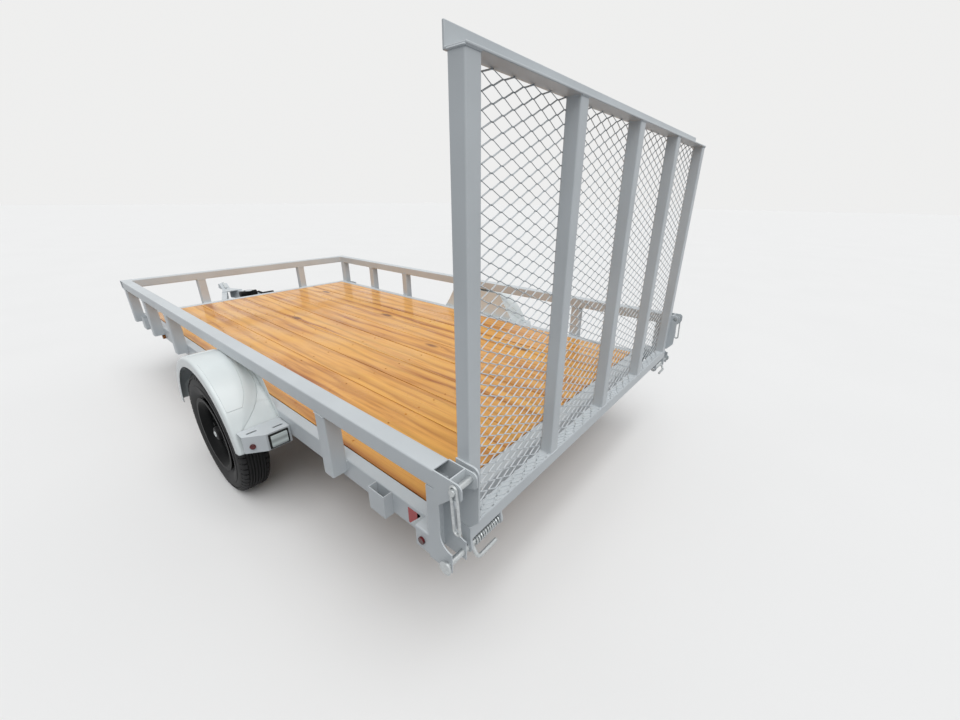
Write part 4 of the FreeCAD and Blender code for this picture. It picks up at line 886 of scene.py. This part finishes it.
class TRAILER_OT_gate(bpy.types.Operator):
    """Build the ramp gate's tubes, its expanded mesh, its pins and their springs"""
    bl_idname = "trailer.gate"
    bl_label = "Ramp gate"

    # The strands lean back, so their faces catch the light from above
    STRAND_LEAN = math.radians(50)
    # The mesh ends short of its frame's outer edges
    MESH_INSET = 0.012
    # Gap of the folded strands to the gate's tubes and edge, and twice the lift of their upper layer
    HEM_GAP, HEM_LIFT = 0.002, 0.0015
    # How far a link's upper end hangs ahead of its middle, and its middle behind the ear's
    LINK_LEAN, LINK_SET_BACK, LINK_POINTS = 0.004, 0.003, 32
    # Radii of the pin and of its handle, and the inner end of the pin from the middle line
    PIN, GRIP, PIN_END = 0.0078, 0.0052, 0.616
    # The handle: length of its arm, radius of its bend, length of its bar and swing from straight down
    ARM, BEND, BAR, SWING = 0.038, 0.012, 0.070, math.radians(34)
    # The pin's round head: m from its inner face, radius
    HEAD = ((0.0, 0.0005), (0.0, 0.0165), (0.0012, 0.0178), (0.0045, 0.0178), (0.0058, 0.0165),
            (0.006, 0.0005))
    SPRING_TURNS, POINTS_PER_TURN = 11, 14

    def execute(self, context):
        settings = context.scene.trailer_gate
        tubes_of("gate_tubes", ("gate_uprights",), GATE_WALL, 0.8, "ramp_gate")
        self.add_mesh(settings)
        self.add_links(settings)
        self.add_pins()
        self.add_springs(settings.spring_wire)
        return {"FINISHED"}

    def strand(self, settings, start, end, first, knees, row, lap=0.0):
        """Places along Y of a wavy row of strands, with 1 where it is at its higher bonds."""
        half_long, half_bond = settings.diamond_long / 2, settings.bond / 2
        return [(min(max(first + (knee + lap) * half_long + turn * half_bond, start), end), (knee + row) % 2)
                for knee in range(knees + 1) for turn in (-1, 1)]

    def add_mesh(self, settings):
        low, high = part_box("gate_mesh")
        bm = bmesh.new()
        half_long, half_short = settings.diamond_long / 2, settings.diamond_short / 2
        wide, thick = settings.strand_width / 2, settings.strand_thick / 2
        angle = math.pi / 2 - self.STRAND_LEAN
        section = [(wide * math.cos(angle) * a - thick * math.sin(angle) * b,
                    wide * math.sin(angle) * a + thick * math.cos(angle) * b)
                   for a, b in ((1, 1), (-1, 1), (-1, -1), (1, -1))]
        depth = (low.x + high.x) / 2
        knees = int((high.y - low.y - 2 * self.MESH_INSET) / half_long)
        first = low.y + (high.y - low.y - knees * half_long) / 2
        # Each row of strands is one wavy ribbon, joined to the rows above and below
        for row in range(int((high.z - low.z - settings.strand_width) / half_short) + 1):
            path = [(y, min(low.z + wide + row * half_short + raised * half_short, high.z - wide))
                    for y, raised in self.strand(settings, low.y + self.MESH_INSET, high.y - self.MESH_INSET,
                                                 first, knees, row)]
            add_skin(bm, [[(depth + across, y, min(z + up, high.z)) for across, up in section]
                          for y, z in path])
        self.add_hem(bm, low, settings)
        make_piece(bm, "expanded_mesh", "coat", ("gate_mesh",), "ramp_gate")

    def add_hem(self, bm, low, settings):
        """The lowest strands, folded back over the gate's foot between its tubes, in two layers."""
        tubes = sorted(solid_boxes("gate_uprights"), key=lambda box: box[0].y)
        half_long, half_short = settings.diamond_long / 2, settings.diamond_short / 2
        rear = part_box("gate_uprights")[0].x
        level = low.z + settings.strand_thick / 2
        rows = int((low.x - rear) / half_short) + 1
        for (_, near), (far, _) in zip(tubes, tubes[1:]):
            start, end = near.y + self.HEM_GAP, far.y - self.HEM_GAP
            knees = int((end - start) / half_long)
            for lap in (0.0, 0.5):
                first = start + (end - start - knees * half_long) * (0.25 + lap)
                for row in range(rows):
                    path = [(max(low.x - (row + raised + lap) * half_short, rear + self.HEM_GAP), y,
                             level + lap * self.HEM_LIFT)
                            for y, raised in self.strand(settings, start, end, first, knees, row, lap)]
                    add_rod(bm, path, settings.strand_width * 0.6, sides=6)

    def add_links(self, settings):
        """The two snap links: loops of round wire that hang from the posts' ears."""
        bm = bmesh.new()
        wire = settings.link_wire
        half = settings.link_width / 2 - wire
        for low, high in solid_boxes("snap_links"):
            middle = (low + high) / 2
            reach = high.z - low.z
            path = []
            for i in range(self.LINK_POINTS):
                angle = FULL_TURN * i / self.LINK_POINTS
                sine = math.sin(angle)
                # The bends at the two ends stand apart by the loop's straight sides
                end = math.copysign(1, sine) if abs(sine) > 1e-6 else 0
                up = end * (reach / 2 - wire - half) + half * sine
                ahead = half * math.cos(angle) + self.LINK_LEAN * up / reach * 2
                path.append((middle.x - self.LINK_SET_BACK + ahead, middle.y, middle.z + up))
            add_rod(bm, path, wire, closed=True)
            # The gate of the link, a thicker sleeve at its lower end
            add_rod(bm, path[20:29], wire * 1.12)
        make_piece(bm, "link_wires", "zinc", ("snap_links",))

    def add_pins(self):
        """Hinge pins: a bar with a round head outside and a bent handle beside the spring."""
        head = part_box("gate_hinge_pins")[1].y - 0.006
        root_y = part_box("gate_pin_springs")[1].y + 0.0055
        x, _, z = axle_of("gate_pin_springs")
        down = Vector((-math.sin(self.SWING), 0, -math.cos(self.SWING)))
        bm = bmesh.new()
        for hand, side in SIDES:
            add_rod(bm, [(x, side * y, z) for y in (self.PIN_END, self.PIN_END + 0.002, head + 0.001)],
                    [self.PIN * 0.8, self.PIN, self.PIN], sides=20)
            add_lathe(bm, [(side * (head + along), radius) for along, radius in self.HEAD], (x, 0.0, z), 40)
            root = Vector((x, side * root_y, z))
            elbow = root + down * self.ARM
            tip = elbow - Vector((0, side * self.BAR, 0))
            add_rod(bm, rounded_path((root, elbow, tip), self.BEND), self.GRIP, sides=12)
        bmesh.ops.holes_fill(bm, edges=bm.edges[:])
        make_piece(bm, "gate_pins", "zinc", ("gate_hinge_pins",), "ramp_gate")

    def add_springs(self, wire):
        bm = bmesh.new()
        count = self.SPRING_TURNS * self.POINTS_PER_TURN
        for low, high in solid_boxes("gate_pin_springs"):
            centre = (low + high) / 2
            axis = (centre.x, low.y + wire, centre.z)
            radius = (high.z - low.z) / 2 - wire
            length = high.y - low.y - 2 * wire
            add_rod(bm, [about_y(axis, radius, FULL_TURN * i / self.POINTS_PER_TURN, length * i / count)
                         for i in range(count + 1)], wire, sides=6)
        make_piece(bm, "pin_spring_coils", "zinc", ("gate_pin_springs",), "ramp_gate")


class TRAILER_OT_tyres(bpy.types.Operator):
    """Mould the tyres with their grooves, shoulder blocks and bead rings"""
    bl_idname = "trailer.tyres"
    bl_label = "Tyres"

    GROOVES = (-0.022, 0.0, 0.022)
    # From the tyre's edge to the tread's
    TREAD_INSET = 0.014
    # Height of the tyre from its bead to the tread
    BEAD_DEPTH = 0.1157

    def execute(self, context):
        for hand, side in SIDES:
            bm = bmesh.new()
            self.add_tyre(bm, *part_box(f"tyre_{hand}"), context.scene.trailer_wheel)
            make_piece(bm, f"tyre_casing_{hand}", "rubber", (f"tyre_{hand}",), f"wheel_{hand}", crease=40)
        return {"FINISHED"}

    def add_tyre(self, bm, low, high, settings):
        centre = (low + high) / 2
        outer = (high.z - low.z) / 2
        half = (high.y - low.y) / 2
        base = outer - settings.groove
        bead = outer - self.BEAD_DEPTH
        tread = half - self.TREAD_INSET
        # One side wall from the bead to the tread: along the axle, radius
        wall = [(-half + along, radius) for along, radius in (
            (0.022, bead + 0.001), (0.016, bead + 0.004), (0.015, bead + 0.011), (0.018, bead + 0.014),
            (0.008, bead + 0.030), (0.0015, outer - 0.066), (0.0, outer - 0.060), (0.0, outer - 0.050),
            (0.003, outer - 0.047), (0.0035, outer - 0.032), (0.008, outer - 0.024))]
        wall += [(-tread - 0.004, base - 0.004), (-tread + 0.002, base)]
        # Half of a groove with the rib beside it, from outside inwards
        rib = ((0.0086, base), (0.0083, outer - 0.0006), (0.0080, outer - 0.0003), (0.0035, outer - 0.0003),
               (0.0030, base + 0.001))
        profile = wall[:]
        for place in self.GROOVES:
            profile += [(place - along, radius) for along, radius in rib]
            profile += [(place + along, radius) for along, radius in reversed(rib)]
        profile += [(-along, radius) for along, radius in reversed(wall)]
        profile += [(half - 0.030, bead), (-half + 0.030, bead)]
        add_lathe(bm, profile, centre, 128, closed=True)

        # Shoulder blocks: short raised lugs from the tread's edge inwards
        step = FULL_TURN / settings.blocks
        half_angle = step / 2 - settings.block_gap / outer / 2
        block = ((tread + 0.010, base - 0.016), (tread + 0.0035, outer - 0.0085),
                 (tread - 0.004, outer - 0.0016), (0.0335, outer - 0.0004), (0.0330, base),
                 (tread - 0.004, base - 0.018))
        for edge, lag in ((-1, 0.0), (1, 0.5)):
            for i in range(settings.blocks):
                angles = [step * (i + lag) + turn * half_angle for turn in (-1, 1)]
                add_skin(bm, [[about_y(centre, radius, angle, edge * along) for along, radius in block]
                              for angle in angles])


class TRAILER_OT_wheels(bpy.types.Operator):
    """Press the wheels and fit the hubs and nuts"""
    bl_idname = "trailer.wheels"
    bl_label = "Wheels"

    # A black cast hub with a small bright dust cap: mm from the hub's inner end, radius in mm
    CAST = ((0, 16), (0, 34), (53.5, 34), (53.5, 66), (61.5, 66), (61.5, 36), (64, 33.5), (80, 31.5),
            (92, 29.5), (96, 27), (98, 22), (98.5, 13), (98.5, 1))
    CAP = ((98.4, 13), (99.8, 12.5), (101.0, 10), (101.5, 6), (101.5, 0.5))
    # Shares of a nut's radius and depths below its outer face; its first ring lies on the wheel
    NUT = ((1.0, 0.004), (0.75, 0.0), (0.45, 0.0), (0.45, 0.006))

    def execute(self, context):
        for hand, side in SIDES:
            body = f"wheel_{hand}"
            cut_nodes(f"wheel_disc_{hand}", (f"wheel_rim_{hand}",), "enamel", 0.0008, body)
            inner = min([corner.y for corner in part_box(f"hub_{hand}")], key=abs)
            for name, rows, finish, nodes in (("hub_cast", self.CAST, "satin", (f"hub_{hand}",)),
                                              ("dust_cap", self.CAP, "zinc", ())):
                bm = bmesh.new()
                add_lathe(bm, [(inner + side * along / 1000, radius / 1000) for along, radius in rows],
                          axle_of(f"wheel_rim_{hand}"), 48)
                bmesh.ops.holes_fill(bm, edges=bm.edges[:])
                make_piece(bm, f"{name}_{hand}", finish, nodes, body)
            self.add_nuts(hand, side, body)
        return {"FINISHED"}

    def add_nuts(self, hand, side, body):
        bm = bmesh.new()
        for low, high in solid_boxes(f"lug_nuts_{hand}"):
            centre = (low + high) / 2
            radius = (high.z - low.z) / 2
            inner, outer = sorted((low.y, high.y), key=abs)
            rings = [(radius, inner)] + [(radius * share, outer - side * depth) for share, depth in self.NUT]
            add_skin(bm, [[about_y((centre.x, 0.0, centre.z), size, math.pi * i / 3, y) for i in range(6)]
                          for size, y in rings])
        make_piece(bm, f"wheel_nuts_{hand}", "enamel", (f"lug_nuts_{hand}",), body, bevel=0.0006)


class TRAILER_OT_welds(bpy.types.Operator):
    """Run weld beads where the rails, uprights and gate are joined"""
    bl_idname = "trailer.welds"
    bl_label = "Welds"

    # From the end of a bead down an upright to the frame's edge
    END_GAP = 0.003

    def execute(self, context):
        bm = bmesh.new()
        for node in ("uprights_left", "uprights_right", "uprights_front"):
            for low, high in solid_boxes(node):
                self.add_round(bm, low, high, high.z)
                self.add_lap(bm, low, high, node)
        make_piece(bm, "frame_welds", "coat")
        gate = bmesh.new()
        for low, high in solid_boxes("gate_uprights"):
            for level in (low.z, high.z):
                self.add_round(gate, low, high, level)
        make_piece(gate, "gate_welds", "coat", (), "ramp_gate")
        return {"FINISHED"}

    def add_round(self, bm, low, high, level):
        """Thinner beads round the end of an upright."""
        corners = ((low.x, low.y), (high.x, low.y), (high.x, high.y), (low.x, high.y))
        for start, end in zip(corners, corners[1:] + corners[:1]):
            add_weld(bm, (*start, level), (*end, level), 0.8)

    def add_lap(self, bm, low, high, node):
        """Beads down both edges where an upright laps the frame, and one along the frame's top."""
        frame_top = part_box("side_rail_left")[1].z
        face = low.y if low.y > 0 else high.y
        edges = ((low.x, face), (high.x, face))
        if node == "uprights_front":
            edges = ((low.x, low.y), (low.x, high.y))
        for edge in edges:
            add_weld(bm, (*edge, low.z + self.END_GAP), (*edge, frame_top - self.END_GAP))
        add_weld(bm, (*edges[0], frame_top), (*edges[1], frame_top))


class TRAILER_OT_tape(bpy.types.Operator):
    """Lay red and white reflective tape along the side rails"""
    bl_idname = "trailer.tape"
    bl_label = "Reflective tape"

    MARGIN, LENGTH, FILM = 0.012, 0.05, 0.0006
    # Finish, place ahead of the rail's rear end
    SQUARES = (("tape_white", 0.026), ("tape_red", 0.063))

    def execute(self, context):
        low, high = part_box("side_rail_left")
        foot, head = low.z + self.MARGIN, high.z - self.MARGIN
        over = high.y + self.FILM
        for finish, place in self.SQUARES:
            start = low.x + place
            square = rounded_outline((start, foot), (start + self.LENGTH, head), 0.002, 2)
            self.add_film(finish, finish, square, high.y, over)
        # The white half below the slant of the last square
        slant = ((start, foot), (start + 0.044, foot), (start, head - 0.004))
        self.add_film("tape_slant", "tape_white", slant, over, over + 0.0003)
        return {"FINISHED"}

    def add_film(self, name, finish, outline, inner, outer):
        bm = bmesh.new()
        for hand, side in SIDES:
            add_prism(bm, outline, side * inner, side * outer)
        make_piece(bm, name, finish)


OPERATORS = (TRAILER_OT_stage, TRAILER_OT_frame, TRAILER_OT_rails, TRAILER_OT_deck, TRAILER_OT_fenders,
             TRAILER_OT_fittings, TRAILER_OT_gate, TRAILER_OT_tyres, TRAILER_OT_wheels, TRAILER_OT_welds,
             TRAILER_OT_tape)


class TRAILER_PT_panel(bpy.types.Panel):
    """Lists the trailer's pieces in the sidebar"""
    bl_idname = "TRAILER_PT_panel"
    bl_label = "Utility trailer"
    bl_space_type = "VIEW_3D"
    bl_region_type = "UI"
    bl_category = "Trailer"

    def draw(self, context):
        for operator in OPERATORS:
            self.layout.operator(operator.bl_idname)
        for name, group in SETTINGS:
            box = self.layout.box()
            for key in group.__annotations__:
                box.prop(getattr(context.scene, name), key)


def register():
    for name, group in SETTINGS:
        bpy.utils.register_class(group)
        setattr(bpy.types.Scene, name, bpy.props.PointerProperty(type=group))
    for operator in OPERATORS:
        bpy.utils.register_class(operator)
    bpy.utils.register_class(TRAILER_PT_panel)


def unregister():
    bpy.utils.unregister_class(TRAILER_PT_panel)
    for operator in reversed(OPERATORS):
        bpy.utils.unregister_class(operator)
    for name, group in reversed(SETTINGS):
        delattr(bpy.types.Scene, name)
        bpy.utils.unregister_class(group)


def main():
    """Build the whole trailer."""
    register()
    for operator in OPERATORS:
        group, name = operator.bl_idname.split(".")
        getattr(getattr(bpy.ops, group), name)()


if __name__ == "__main__":
    main()
